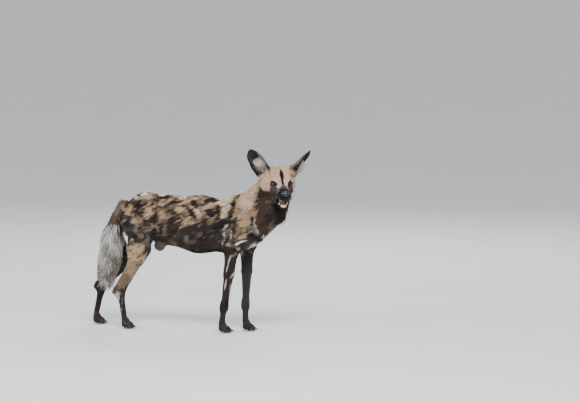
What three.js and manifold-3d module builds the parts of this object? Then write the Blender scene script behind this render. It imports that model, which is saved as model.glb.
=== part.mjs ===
// A life-size model of an African wild dog, Lycaon pictus: a lean standing male with long legs, one
// hind leg set back, a brush of a tail, and a blunt head turned to its right with the mouth ajar.
// Lengths are in millimetres, +Z is up, the chest points along +X and the dog's left is +Y.
//
// Muscles and bones are capsules blended into one smooth surface. Each body part is a loft whose
// rings are shot from a line inside it onto that surface. Parts that grow from one another are cut
// clear of their neighbour by a hairline gap, and locks, toes, claws and teeth are fused in a loop.

import * as THREE from "three";
import { mergeVertices } from "three/addons/utils/BufferGeometryUtils.js";
import Module from "manifold-3d";

const wasm = await Module();
wasm.setup();

// Driving sizes
const GAP = 0.3;
const ROOM = 2000;
const at = (x, y, z) => new THREE.Vector3(x, y, z);
const UP = at(0, 0, 1);
const SIDES = { right: -1, left: 1 };

// Joints of the skeleton. Each leg has its own stance, because the dog stands in mid-stride.
const RUMP_END = at(-366, 0, 596);
const SHOULDER = { x: 312, y: 72, z: 492 };
const SHOULDER_BLADE_TOP = { x: 206, y: 40, z: 626 };
const HIP = { x: -300, y: 52, z: 588 };
const FORELEGS = {
  right: { elbow: at(226, -70, 408), wrist: at(188, -62, 132), knuckle: at(172, -59, 44) },
  left: { elbow: at(256, 70, 408), wrist: at(254, 63, 132), knuckle: at(254, 60, 44) },
};
const HIND_LEGS = {
  right: { knee: at(-238, -78, 398), hock: at(-368, -66, 182), knuckle: at(-350, -63, 46) },
  left: { knee: at(-334, 76, 384), hock: at(-526, 68, 194), knuckle: at(-560, 66, 46) },
};
const FORELEG_CUT = 424;
const HIND_LEG_CUT = 486;
const PAW_CUT = 54;
const GROIN = -208;
const SKULL = at(480, -56, 764);
const HEAD_YAW = THREE.MathUtils.degToRad(-57);
const HEAD_PITCH = THREE.MathUtils.degToRad(14);
const JAW_OPEN = THREE.MathUtils.degToRad(11);
const JAW_HINGE = at(-30, 0, -40);
const NECK_CUT = { at: at(292, 0, 600), towards: at(0.74, 0, 0.67).normalize() };
const EYE = { at: at(43, 41, 1), radius: 12 };
const EARS = {
  right: { tip: at(-62, -150, 146), facing: THREE.MathUtils.degToRad(40) },
  left: { tip: at(-60, 166, 136), facing: THREE.MathUtils.degToRad(72) },
};
const EAR_ROOT = at(-34, 58, 30);
const EAR_HALF_WIDTH = 45;

// Places in the head's own frame, nose along +X, turned to its place on the neck
const headFrame = new THREE.Matrix4()
  .makeTranslation(SKULL)
  .multiply(new THREE.Matrix4().makeRotationZ(HEAD_YAW))
  .multiply(new THREE.Matrix4().makeRotationY(HEAD_PITCH));
const jawSwing = new THREE.Matrix4()
  .makeTranslation(JAW_HINGE)
  .multiply(new THREE.Matrix4().makeRotationY(JAW_OPEN))
  .multiply(new THREE.Matrix4().makeTranslation(JAW_HINGE.clone().negate()));

// One muscle or bone: a tapered capsule, pressed flat across the body where flat is under 1
function muscle(from, to, fromRadius, toRadius = fromRadius, flat = 1) {
  const press = (p) => at(p.x, p.y / flat, p.z);
  const a = press(from);
  const along = press(to).sub(a);
  const lengthSquared = Math.max(along.lengthSq(), 1e-6);
  return (p) => {
    const q = press(p).sub(a);
    const t = THREE.MathUtils.clamp(q.dot(along) / lengthSquared, 0, 1);
    return q.addScaledVector(along, -t).length() - THREE.MathUtils.lerp(fromRadius, toRadius, t);
  };
}

// Several muscles under one skin: the distance below zero is inside
function flesh(blend, muscles) {
  return (p) =>
    muscles.reduce((near, next) => {
      const d = next(p);
      const overlap = Math.max(blend - Math.abs(near - d), 0) / blend;
      return Math.min(near, d) - (overlap * overlap * blend) / 4;
    }, Infinity);
}

// How far the skin is from a point inside it, in one direction
function depthToSkin(skin, from, direction) {
  const p = from.clone();
  let travelled = 0;
  let step = 4;
  while (step > 0.02) {
    const next = p.clone().addScaledVector(direction, step);
    if (skin(next) < 0 && travelled < 400) {
      p.copy(next);
      travelled += step;
    } else {
      step /= 2;
    }
  }
  return travelled;
}

// A closed mesh from rings of points, with a point at each end
function closedLoft(rings, startPoint, endPoint) {
  const sides = rings[0].length;
  const points = [startPoint, ...rings.flat(), endPoint];
  const index = [];
  const last = points.length - 1;
  const corner = (ring, side) => 1 + ring * sides + (side % sides);
  for (let side = 0; side < sides; side++) {
    index.push(0, corner(0, side + 1), corner(0, side));
    index.push(last, corner(rings.length - 1, side), corner(rings.length - 1, side + 1));
    for (let ring = 0; ring < rings.length - 1; ring++) {
      const [a, b] = [corner(ring, side), corner(ring, side + 1)];
      const [c, d] = [corner(ring + 1, side), corner(ring + 1, side + 1)];
      index.push(a, b, c, b, d, c);
    }
  }
  const geometry = new THREE.BufferGeometry().setFromPoints(points);
  return geometry.setIndex(index);
}

// A manifold solid from a closed three.js geometry, turned so that its faces point out
function solidOf(geometry) {
  const bare = geometry.clone();
  bare.deleteAttribute("normal");
  bare.deleteAttribute("uv");
  const merged = mergeVertices(bare, 1e-4);
  const build = (triVerts) =>
    new wasm.Manifold(
      new wasm.Mesh({
        numProp: 3,
        vertProperties: new Float32Array(merged.attributes.position.array),
        triVerts,
      }),
    );
  const made = build(new Uint32Array(merged.index.array));
  return made.volume() > 0 ? made : build(new Uint32Array(merged.index.array).reverse());
}

const join = (solids) => wasm.Manifold.union(solids);
const placed = (solid, frame) => solid.transform(frame.toArray());

// The largest closed surface of a solid: fills sealed hollows and drops loose scraps
function largest(solid) {
  return solid.decompose().reduce((best, next) => (next.volume() > best.volume() ? next : best));
}

// A big box whose lower face lies on a plane and which reaches towards its normal
function beyond(point, towards, width = ROOM, height = ROOM) {
  const box = new THREE.BoxGeometry(width, width, height).translate(0, 0, height / 2);
  const turn = new THREE.Quaternion().setFromUnitVectors(UP, towards);
  return solidOf(box.applyQuaternion(turn).translate(point.x, point.y, point.z));
}

// A loft on the skin round a curve inside the flesh. Rings stand square to the curve, or lie level
function body({ skin, line, rings, sides, level = false, grow = 0 }) {
  const curve = new THREE.CatmullRomCurve3(line, false, "centripetal");
  const grown = (p) => skin(p) - grow;
  const loops = [];
  for (let ring = 0; ring < rings; ring++) {
    const t = ring / (rings - 1);
    const centre = curve.getPointAt(t);
    const ahead = level ? at(0, 0, -1) : curve.getTangentAt(t);
    const across = level ? at(0, 1, 0) : UP.clone().cross(ahead).normalize();
    const third = ahead.clone().cross(across);
    loops.push(
      Array.from({ length: sides }, (_, side) => {
        const angle = (side / sides) * 2 * Math.PI;
        const way = across.clone().multiplyScalar(Math.cos(angle));
        way.addScaledVector(third, Math.sin(angle));
        return centre.clone().addScaledVector(way, depthToSkin(grown, centre, way));
      }),
    );
  }
  const ends = [0, 1].map((t) => {
    const centre = curve.getPointAt(t);
    const out = level ? at(0, 0, t ? -1 : 1) : curve.getTangentAt(t).multiplyScalar(t ? 1 : -1);
    return centre.addScaledVector(out, depthToSkin(grown, centre, out));
  });
  return solidOf(closedLoft(loops, ...ends));
}

// A tapering form along a curve: a claw, a tooth, or a flat lock of hair
function taper({ line, widths, flat = 1, face = UP, sides = 4 }) {
  const curve = new THREE.CatmullRomCurve3(line);
  const loops = widths.map((width, ring) => {
    const t = ring / widths.length;
    const centre = curve.getPoint(t);
    const ahead = curve.getTangent(t);
    const across = ahead.clone().cross(face).normalize();
    const third = across.clone().cross(ahead);
    return Array.from({ length: sides }, (_, side) => {
      const angle = (side / sides) * 2 * Math.PI;
      return centre
        .clone()
        .addScaledVector(across, Math.cos(angle) * width)
        .addScaledVector(third, Math.sin(angle) * width * flat);
    });
  });
  const root = line[0].clone().addScaledVector(curve.getTangent(0), -widths[0] * flat);
  return solidOf(closedLoft(loops, root, line.at(-1)));
}

// A repeatable random number from 0 to 1
function seeded(seed) {
  let state = seed;
  return () => {
    state = (state * 1664525 + 1013904223) % 4294967296;
    return state / 4294967296;
  };
}

// Trunk and neck
const NECK_LINE = [at(312, 0, 612), at(366, 0, 652), at(412, -8, 690), at(450, -22, 728)];
const TRUNK_LINE = [
  RUMP_END,
  at(-300, 0, 586),
  at(-180, 0, 562),
  at(-40, 0, 532),
  at(120, 0, 524),
  at(236, 0, 560),
  ...NECK_LINE,
];

function forelegMuscles(side) {
  const s = SIDES[side];
  const { elbow, wrist, knuckle } = FORELEGS[side];
  const point = at(SHOULDER.x, s * SHOULDER.y, SHOULDER.z);
  const blade = at(SHOULDER_BLADE_TOP.x, s * SHOULDER_BLADE_TOP.y, SHOULDER_BLADE_TOP.z);
  const bulk = elbow.clone().lerp(wrist, 0.38).add(at(4, 0, 0));
  return {
    upper: [
      muscle(blade, point, 44, 46, 0.62),
      muscle(blade.clone().add(at(-20, 0, -60)), elbow.clone().add(at(-10, 0, 30)), 44, 40, 0.6),
      muscle(point, elbow.clone().add(at(6, 0, 6)), 47, 36, 0.72),
    ],
    lower: [
      muscle(elbow.clone().add(at(6, 0, 2)), bulk, 36, 29, 0.8),
      muscle(elbow.clone().add(at(-30, 0, 8)), elbow.clone().add(at(-8, 0, -50)), 12, 18, 0.8),
      muscle(bulk, wrist, 29, 18, 0.82),
      muscle(wrist.clone().add(at(0, 0, 12)), wrist.clone().add(at(2, 0, -10)), 21, 19, 0.88),
      muscle(wrist.clone().add(at(-16, 0, -12)), wrist.clone().add(at(-10, 0, -14)), 8, 8),
      muscle(wrist, knuckle, 16.5, 17, 0.95),
    ],
  };
}

function hindLegMuscles(side) {
  const s = SIDES[side];
  const { knee, hock, knuckle } = HIND_LEGS[side];
  const hip = at(HIP.x, s * HIP.y, HIP.z);
  const heel = hock.clone().add(at(-42, -2 * s, 6));
  const calf = knee.clone().lerp(hock, 0.32).add(at(-22, 0, 2));
  const ham = knee.clone().add(at(-62, -6 * s, 6));
  return {
    upper: [
      muscle(hip.clone().add(at(28, 0, 0)), knee.clone().add(at(-2, 0, 22)), 66, 46, 0.62),
      muscle(hip.clone().add(at(-28, 0, -16)), ham, 58, 34, 0.64),
    ],
    lower: [
      muscle(knee.clone().add(at(-4, 0, 4)), knee.clone().add(at(-26, 0, -40)), 44, 36, 0.66),
      muscle(ham, calf, 32, 26, 0.66),
      muscle(knee.clone().add(at(-20, 0, -30)), hock, 32, 20, 0.76),
      muscle(calf, heel, 22, 9, 0.8),
      muscle(heel, hock.clone().add(at(-16, 0, -12)), 12, 16, 0.9),
      muscle(hock.clone().add(at(-4, 0, 8)), hock.clone().add(at(-2, 0, -16)), 23, 20, 0.84),
      muscle(hock, knuckle, 19, 16, 0.92),
    ],
  };
}

const trunkMuscles = [
  muscle(at(176, 0, 530), at(30, 0, 532), 136, 142, 0.63),
  muscle(at(30, 0, 534), at(-120, 0, 540), 146, 120, 0.66),
  muscle(at(-90, 0, 598), at(-262, 0, 606), 78, 78, 0.9),
  muscle(at(-90, 0, 545), at(-236, 0, 560), 120, 92, 0.62),
  muscle(at(-250, 0, 604), at(-336, 0, 578), 80, 56, 0.86),
  muscle(at(296, 0, 520), at(206, 0, 478), 84, 88, 0.66),
  muscle(at(322, 0, 556), at(322, 0, 520), 60, 56, 0.95),
  muscle(at(232, 0, 594), at(330, 0, 640), 84, 88, 0.72),
  muscle(at(-178, 0, 456), at(-170, 0, 438), 28, 26, 0.9),
  ...Object.keys(SIDES).flatMap((side) => forelegMuscles(side).upper),
  ...Object.keys(SIDES).flatMap((side) => hindLegMuscles(side).upper),
];
const neckMuscles = [
  muscle(at(318, 0, 622), at(400, -6, 694), 90, 82, 0.84),
  muscle(at(400, -6, 694), at(446, -22, 744), 82, 72, 0.9),
  muscle(at(338, 0, 566), at(424, -14, 640), 76, 74, 0.82),
  muscle(at(424, -14, 640), at(464, -20, 694), 74, 64, 0.86),
];
const trunkSkin = flesh(34, [...trunkMuscles, ...neckMuscles]);
const trunkAndNeck = (grow = 0) =>
  body({ skin: trunkSkin, line: TRUNK_LINE, rings: 34, sides: 24, grow });

// Legs: level rings from inside the trunk down to the knuckles
function legSkin({ upper, lower }) {
  return flesh(16, [...upper, ...lower]);
}

function foreleg(side, grow = 0) {
  const { elbow, wrist, knuckle } = FORELEGS[side];
  const line = [elbow.clone().add(at(4, 0, 44)), elbow, wrist, knuckle];
  return body({ skin: legSkin(forelegMuscles(side)), line, rings: 17, sides: 12, level: true, grow });
}

function hindLeg(side, grow = 0) {
  const { knee, hock, knuckle } = HIND_LEGS[side];
  const top = at(HIP.x, SIDES[side] * HIP.y, HIP.z).lerp(knee, 0.3);
  const line = [top, knee.clone().add(at(-22, 0, 0)), hock.clone().add(at(-6, 0, 0)), knuckle];
  return body({ skin: legSkin(hindLegMuscles(side)), line, rings: 20, sides: 12, level: true, grow });
}

// Paws: a palm, four toes with claws, and pads with flat soles
const SOLE_DEPTH = 15;
const TOES = [
  { across: -22, reach: 30, out: -8 },
  { across: -8.5, reach: 45, out: -3 },
  { across: 8.5, reach: 45, out: 3 },
  { across: 22, reach: 30, out: 8 },
];

function toeLine(knuckle, { across, reach, out }) {
  const { x, y, z } = knuckle;
  return [
    at(x - 4, y + across * 0.62, z - 8),
    at(x + reach * 0.55, y + across, z - 15),
    at(x + reach, y + across + out * 0.5, SOLE_DEPTH - 6),
  ];
}

function claw([, middle, end]) {
  const out = end.clone().sub(middle).setZ(0).normalize();
  const root = end.clone().addScaledVector(out, -2).add(at(0, 0, 4));
  const bend = root.clone().addScaledVector(out, 14);
  const tip = root.clone().addScaledVector(out, 24).add(at(0, 0, -9));
  return taper({ line: [root, bend, tip], widths: [4.2, 3.6, 2.2], sides: 4 });
}

function paw(knuckle) {
  const { x, y, z } = knuckle;
  const palm = flesh(10, [
    muscle(at(x, y, z + 22), at(x + 6, y, z - 6), 16.5, 20, 1.1),
    muscle(at(x + 2, y - 9, SOLE_DEPTH), at(x + 2, y + 9, SOLE_DEPTH), SOLE_DEPTH + 2),
  ]);
  const palmLine = [at(x, y, z + 26), at(x + 4, y, SOLE_DEPTH)];
  const toes = TOES.map((toe) => {
    const line = toeLine(knuckle, toe);
    const skin = flesh(8, [muscle(line[0], line[1], 11, 11.5), muscle(line[1], line[2], 11.5, 10.5)]);
    return join([body({ skin, line, rings: 4, sides: 6 }), claw(line)]);
  });
  const heel = body({ skin: palm, line: palmLine, rings: 5, sides: 9, level: true });
  return largest(join([heel, ...toes]).intersect(beyond(at(0, 0, 0), UP)));
}

// Head: cranium, brows, wide cheeks and a short deep muzzle, in the head's own frame
const mirrored = (p, s) => at(p.x, p.y * s, p.z);
const paired = (make) => Object.values(SIDES).flatMap(make);
const headSkin = flesh(24, [
  muscle(at(-54, 0, 12), at(-4, 0, 18), 47, 45, 1.16),
  muscle(at(10, 0, 22), at(32, 0, 8), 27, 22, 1.3),
  muscle(at(40, 0, 0), at(112, 0, -24), 22, 15, 1.1),
  muscle(at(36, 0, -30), at(108, 0, -37), 34, 23, 1.02),
  ...paired((s) => [
    muscle(at(24, s * 34, 18), at(44, s * 32, 12), 12, 8),
    muscle(at(42, s * 46, -20), at(-36, s * 58, -14), 12, 18),
    muscle(at(18, s * 42, -40), at(-34, s * 50, -34), 24, 30),
    muscle(at(84, s * 17, -44), at(116, s * 12, -44), 15, 14.5),
    muscle(at(-34, s * 42, 26), at(-34, s * 52, 40), 26, 16),
  ]),
]);
const HEAD_LINE = [at(-84, 0, 4), at(-20, 0, 2), at(40, 0, -16), at(96, 0, -36), at(124, 0, -40)];
const plainHead = (grow = 0) => body({ skin: headSkin, line: HEAD_LINE, rings: 23, sides: 22, grow });

// A round cutter or ball in the head's frame
function ball(centre, radius, stretch = at(1, 1, 1), sides = 12) {
  const geometry = new THREE.SphereGeometry(radius, sides, sides / 2 + 2).scale(...stretch.toArray());
  return solidOf(geometry.translate(centre.x, centre.y, centre.z));
}

// Upper and lower lid in one almond rim round the front of the eyeball
function lids(s) {
  const rim = new THREE.TorusGeometry(11.6, 3.6, 5, 12).scale(1.1, 0.76, 1);
  const gaze = at(0.9, s * 0.42, 0.08).normalize();
  const level = UP.clone().cross(gaze).normalize();
  const tilted = level.addScaledVector(UP, s * 0.16).normalize();
  const upright = gaze.clone().cross(tilted);
  rim.applyMatrix4(new THREE.Matrix4().makeBasis(tilted, upright, gaze));
  const centre = mirrored(EYE.at, s).addScaledVector(gaze, 6.5);
  return solidOf(rim.translate(centre.x, centre.y, centre.z));
}

// Front teeth between two canines, along a half-round arch
function frontTeeth({ centre, radius, way, length, canine, count = 8 }) {
  return Array.from({ length: count }, (_, i) => {
    const angle = THREE.MathUtils.lerp(-1.35, 1.35, i / (count - 1));
    const root = centre.clone().add(at(Math.cos(angle) * radius, Math.sin(angle) * radius, 0));
    const isCanine = i === 0 || i === count - 1;
    const reach = isCanine ? canine : length;
    const width = isCanine ? 4 : 3;
    const middle = root.clone().addScaledVector(way, reach * 0.5);
    const tip = root.clone().addScaledVector(way, reach);
    return taper({ line: [root, middle, tip], widths: [width, width * 0.8], face: at(0, 1, 0) });
  });
}

// Cheek teeth as a row of low points on each side
function cheekTeeth({ front, back, way, count }) {
  return paired((s) =>
    Array.from({ length: count }, (_, i) => {
      const root = mirrored(front.clone().lerp(back, i / (count - 1)), s);
      const tip = root.clone().addScaledVector(way, 10);
      const line = [root, root.clone().lerp(tip, 0.5), tip];
      return taper({ line, widths: [5, 4], face: at(0, 1, 0), flat: 0.7 });
    }),
  );
}

const DOWN = at(0, 0, -1);
const NOSE = { at: at(130, 0, -21), radius: 20, stretch: at(0.95, 1.06, 0.76) };
const noseBall = (grow = 0) => ball(NOSE.at, NOSE.radius + grow, NOSE.stretch, 12);

function nose() {
  const nostrils = paired((s) => [
    ball(at(149, s * 7.5, -24), 3.8, at(1.6, 1, 1.1), 6),
    ball(at(143, s * 15, -23), 3.2, at(1.6, 1.6, 0.7), 6),
  ]);
  return largest(noseBall().subtract(join(nostrils)));
}

function headSolid() {
  const upperTeeth = frontTeeth({
    centre: at(98, 0, -50),
    radius: 17,
    way: DOWN,
    length: 12,
    canine: 21,
  });
  const mouth = body({
    skin: flesh(6, [muscle(at(36, 0, -70), at(104, 0, -66), 22, 15, 1.05)]),
    line: [at(20, 0, -70), at(114, 0, -66)],
    rings: 6,
    sides: 9,
  });
  const shaped = join([plainHead(), ...paired(lids)]).subtract(mouth);
  const sockets = paired((s) => ball(mirrored(EYE.at, s), EYE.radius + GAP));
  return largest(join([shaped, ...upperTeeth]).subtract(join([...sockets, noseBall(GAP)])));
}

// Lower jaw with its own teeth and tongue, drawn closed and then swung open
const jawSkin = flesh(10, [
  muscle(at(-14, 0, -68), at(96, 0, -74), 18, 12, 1.4),
  ...paired((s) => [
    muscle(at(-24, s * 42, -50), at(50, s * 27, -68), 19, 15),
    muscle(at(50, s * 27, -68), at(112, s * 12, -71), 15, 12),
  ]),
]);
const JAW_LINE = [at(-24, 0, -66), at(50, 0, -72), at(114, 0, -72)];
const plainJaw = (grow = 0) => body({ skin: jawSkin, line: JAW_LINE, rings: 12, sides: 16, grow });

function lowerJaw() {
  const trough = body({
    skin: flesh(4, [muscle(at(16, 0, -54), at(102, 0, -58), 18, 14, 1.1)]),
    line: [at(4, 0, -54), at(110, 0, -58)],
    rings: 6,
    sides: 8,
  });
  const lowerTeeth = [
    ...frontTeeth({ centre: at(96, 0, -70), radius: 20, way: UP, length: 18, canine: 26 }),
    ...cheekTeeth({ front: at(86, 22, -70), back: at(54, 26, -68), way: UP, count: 3 }),
  ];
  return largest(join([plainJaw().subtract(trough), ...lowerTeeth]));
}

function tongue() {
  const flap = flesh(8, [
    muscle(at(52, 0, -66), at(74, 0, -65), 11, 10, 1.3),
    muscle(at(74, 0, -65), at(98, 0, -65), 10, 7, 1.5),
  ]);
  return body({ skin: flap, line: [at(44, 0, -66), at(74, 0, -65), at(100, 0, -65)], rings: 7, sides: 10 });
}

// Ear: a big rounded cup, an arc of skin that opens forwards and outwards from a rolled root
function ear(side) {
  const s = SIDES[side];
  const { tip, facing } = EARS[side];
  const base = mirrored(EAR_ROOT, s);
  const along = tip.clone().sub(base);
  const length = along.length();
  const axis = along.clone().normalize();
  const open = at(Math.cos(facing), s * Math.sin(facing), 0);
  open.addScaledVector(axis, -open.dot(axis)).normalize();
  const across = axis.clone().cross(open);
  const columns = 6;
  const rows = 10;
  const loops = [];
  for (let row = 0; row < rows; row++) {
    const t = (row / (rows - 1)) * 0.985;
    const lower = Math.min(t / 0.4, 1);
    const upper = Math.max((t - 0.4) / 0.6, 0);
    const half = THREE.MathUtils.lerp(30, EAR_HALF_WIDTH, lower ** 0.8) * Math.sqrt(1 - upper ** 2.2);
    const wrap = THREE.MathUtils.lerp(2, 0.85, Math.min(t / 0.6, 1));
    const radius = half / Math.sin(Math.min(wrap, Math.PI / 2));
    const thick = THREE.MathUtils.lerp(8, 3, Math.min(t / 0.3, 1));
    const back = base
      .clone()
      .addScaledVector(axis, t * length)
      .addScaledVector(open, 12 * t * t - 16);
    const edge = (radial, angle) =>
      back
        .clone()
        .addScaledVector(open, radius - Math.cos(angle) * radial)
        .addScaledVector(across, Math.sin(angle) * radial);
    const angles = Array.from({ length: columns + 1 }, (_, i) => ((2 * i) / columns - 1) * wrap);
    const inner = angles.map((angle) => edge(radius, angle));
    const outer = angles.map((angle) => edge(radius + thick, angle)).reverse();
    loops.push([...inner, ...outer]);
  }
  const middle = (loop) => loop.reduce((sum, p) => sum.add(p), at(0, 0, 0)).divideScalar(loop.length);
  const foot = middle(loops[0]).addScaledVector(axis, -6);
  const point = middle(loops.at(-1)).addScaledVector(axis, 2);
  return solidOf(closedLoft(loops, foot, point));
}

// Tail: a thin core under a brush of long locks that hang along it
const TAIL_LINE = [
  at(-372, 0, 610),
  at(-402, 0, 572),
  at(-420, -2, 520),
  at(-434, -6, 450),
  at(-446, -9, 380),
  at(-458, -11, 310),
  at(-461, -12, 262),
];
const TAIL_RADII = [30, 25, 22, 22, 21, 16, 9];
const TAIL_ROWS = [0.16, 0.3, 0.44, 0.58, 0.72, 0.86];
const TAIL_LOCK = { length: 124, width: 12, lift: 0.42, around: 6 };

const tailSkin = flesh(
  12,
  TAIL_LINE.slice(1).map((to, i) => muscle(TAIL_LINE[i], to, TAIL_RADII[i], TAIL_RADII[i + 1], 0.92)),
);

// One flat lock, rooted below the skin, that leaves at a slant and bends back along its lie
function lock({ root, out, lie, length, width, lift }) {
  const along = (way, rise) =>
    root.clone().addScaledVector(lie, length * way).addScaledVector(out, length * lift * rise);
  const start = root.clone().addScaledVector(out, -8);
  const line = [start, along(0.3, 0.26), along(0.68, 0.46), along(1, 0.4)];
  return taper({ line, widths: [width * 0.8, width, width * 0.72], flat: 0.36, face: out });
}

// Locks in staggered rows round a curve, each on the skin and lying as its row says
function locksAround({ curve, skin, rows, around, spread, seed, make }) {
  const random = seeded(seed);
  return rows.flatMap((t, row) =>
    Array.from({ length: around }, (_, i) => {
      const centre = curve.getPointAt(t);
      const ahead = curve.getTangentAt(t);
      const across = UP.clone().cross(ahead).normalize();
      const under = across.clone().cross(ahead);
      const turn = ((i + 0.5 * (row % 2) + 0.3 * random()) / around - 0.5) * spread;
      const out = under.multiplyScalar(Math.cos(turn)).addScaledVector(across, Math.sin(turn));
      const root = centre.addScaledVector(out, depthToSkin(skin, centre, out));
      return lock({ root, out, ...make({ t, ahead, out, turn, vary: 0.88 + 0.24 * random() }) });
    }),
  );
}

function tailLocks() {
  const { length, width, lift, around } = TAIL_LOCK;
  return locksAround({
    curve: new THREE.CatmullRomCurve3(TAIL_LINE, false, "centripetal"),
    skin: tailSkin,
    rows: TAIL_ROWS,
    around,
    spread: 2 * Math.PI,
    seed: 7,
    make: ({ t, ahead, out, vary }) => ({
      lie: ahead,
      length: Math.min(length * vary, 100 + (1 - t) * 60),
      width,
      lift: Math.abs(out.y) > 0.75 ? lift * 0.6 : lift,
    }),
  });
}

// Ruff: locks on the throat and the sides of the neck that lie back and down
const RUFF_ROWS = [0.16, 0.38, 0.6, 0.82];
const RUFF_LOCK = { length: 92, width: 12, lift: 0.22, around: 8 };

function ruffLocks() {
  const { length, width, lift, around } = RUFF_LOCK;
  return locksAround({
    curve: new THREE.CatmullRomCurve3(NECK_LINE, false, "centripetal"),
    skin: trunkSkin,
    rows: RUFF_ROWS,
    around,
    spread: 1.4 * Math.PI,
    seed: 21,
    make: ({ ahead, out, vary }) => {
      const lie = ahead.clone().negate().addScaledVector(UP, -0.6);
      lie.addScaledVector(out, -lie.dot(out)).normalize();
      return { lie, length: length * vary, width, lift };
    },
  });
}

// The colours of the coat and of the bare parts
const COLOURS = {
  tan: { color: "#a98660", roughness: 0.9 },
  dark: { color: "#2c2622", roughness: 0.9 },
  brown: { color: "#5e4636", roughness: 0.9 },
  pale: { color: "#b9afa4", roughness: 0.92 },
  hide: { color: "#1d1a1b", roughness: 0.5 },
  eye: { color: "#1a100a", roughness: 0.12 },
  tongue: { color: "#b4545a", roughness: 0.45 },
};

function part(name, solid, finish) {
  const mesh = solid.getMesh();
  const geometry = new THREE.BufferGeometry();
  geometry.setAttribute("position", new THREE.BufferAttribute(new Float32Array(mesh.vertProperties), 3));
  geometry.setIndex(new THREE.BufferAttribute(new Uint32Array(mesh.triVerts), 1));
  geometry.computeVertexNormals();
  const shown = new THREE.Mesh(geometry, new THREE.MeshStandardMaterial(COLOURS[finish]));
  shown.name = name;
  return shown;
}

const dog = new THREE.Group();
dog.name = "african_wild_dog";

// Legs and paws. The paw takes the leg's end below the paw cut
const grownLegs = [];
for (const side of Object.keys(SIDES)) {
  const legs = {
    foreleg: { make: foreleg, cut: FORELEG_CUT, knuckle: FORELEGS[side].knuckle },
    hind_leg: { make: hindLeg, cut: HIND_LEG_CUT, knuckle: HIND_LEGS[side].knuckle },
  };
  for (const [name, { make, cut, knuckle }] of Object.entries(legs)) {
    const belowCut = beyond(at(0, 0, cut), DOWN);
    const abovePaw = beyond(at(0, 0, PAW_CUT + GAP), UP);
    const limb = make(side);
    dog.add(part(`${name}_${side}`, largest(limb.intersect(belowCut).intersect(abovePaw)), "tan"));
    const foot = join([paw(knuckle), limb.intersect(beyond(at(0, 0, 30), UP))]);
    dog.add(part(`${name}_paw_${side}`, largest(foot.intersect(beyond(at(0, 0, PAW_CUT), DOWN))), "dark"));
    grownLegs.push(make(side, GAP).intersect(beyond(at(0, 0, cut + GAP), DOWN)));
  }
}

// Head and what it carries
const jaw = lowerJaw().transform(jawSwing.toArray());
const grownJaw = plainJaw(GAP).transform(jawSwing.toArray());
const jawClear = jaw.subtract(join([plainHead(GAP), noseBall(GAP)]));
const tongueClear = tongue().transform(jawSwing.toArray()).subtract(plainHead(GAP));
const inHead = (name, solid, finish) => dog.add(part(name, placed(solid, headFrame), finish));
inHead("head", headSolid(), "tan");
inHead("nose", nose(), "hide");
inHead("lower_jaw", largest(jawClear), "dark");
inHead("tongue", largest(tongueClear.subtract(jaw)), "tongue");
for (const side of Object.keys(SIDES)) {
  inHead(`eye_${side}`, ball(mirrored(EYE.at, SIDES[side]), EYE.radius), "eye");
  inHead(`ear_${side}`, largest(ear(side).subtract(plainHead(GAP))), "brown");
}

// Neck with its ruff, torso, and tail
const trunk = trunkAndNeck();
const neckSpace = beyond(NECK_CUT.at, NECK_CUT.towards, 520, 400);
const neckRoom = beyond(NECK_CUT.at.clone().addScaledVector(NECK_CUT.towards, -GAP), NECK_CUT.towards);
const grownFace = placed(join([plainHead(GAP), grownJaw]), headFrame);
const neck = join([trunk, ...ruffLocks()]).intersect(neckSpace).subtract(grownFace);
dog.add(part("neck", largest(neck), "brown"));

const underThighs = beyond(at(GROIN - ROOM / 2, 0, HIND_LEG_CUT + GAP), DOWN);
const torso = trunk.subtract(neckRoom).subtract(join([underThighs, ...grownLegs]));
dog.add(part("torso", largest(torso), "tan"));

const grownBody = join([trunkAndNeck(GAP), ...grownLegs]);
const tailCore = body({ skin: tailSkin, line: TAIL_LINE, rings: 14, sides: 10 });
const tail = join([tailCore, ...tailLocks()]).subtract(grownBody);
dog.add(part("tail", largest(tail), "pale"));

// The origin is the middle of the footprint, on the floor
const extent = new THREE.Box3().setFromObject(dog);
const middle = extent.getCenter(at(0, 0, 0));
dog.position.set(-middle.x, -middle.y, -extent.min.z);

export default dog;
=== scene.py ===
# %% [markdown]
# # African wild dog, a still museum model
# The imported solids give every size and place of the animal. They could be shown as they are, but their
# facets would show, so they are loaded as a fixed frame and dressed with skin, eyes, teeth and coat.

# %% Load the solids
import math
import bpy
import numpy as np
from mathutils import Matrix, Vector
from mathutils.kdtree import KDTree


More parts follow.
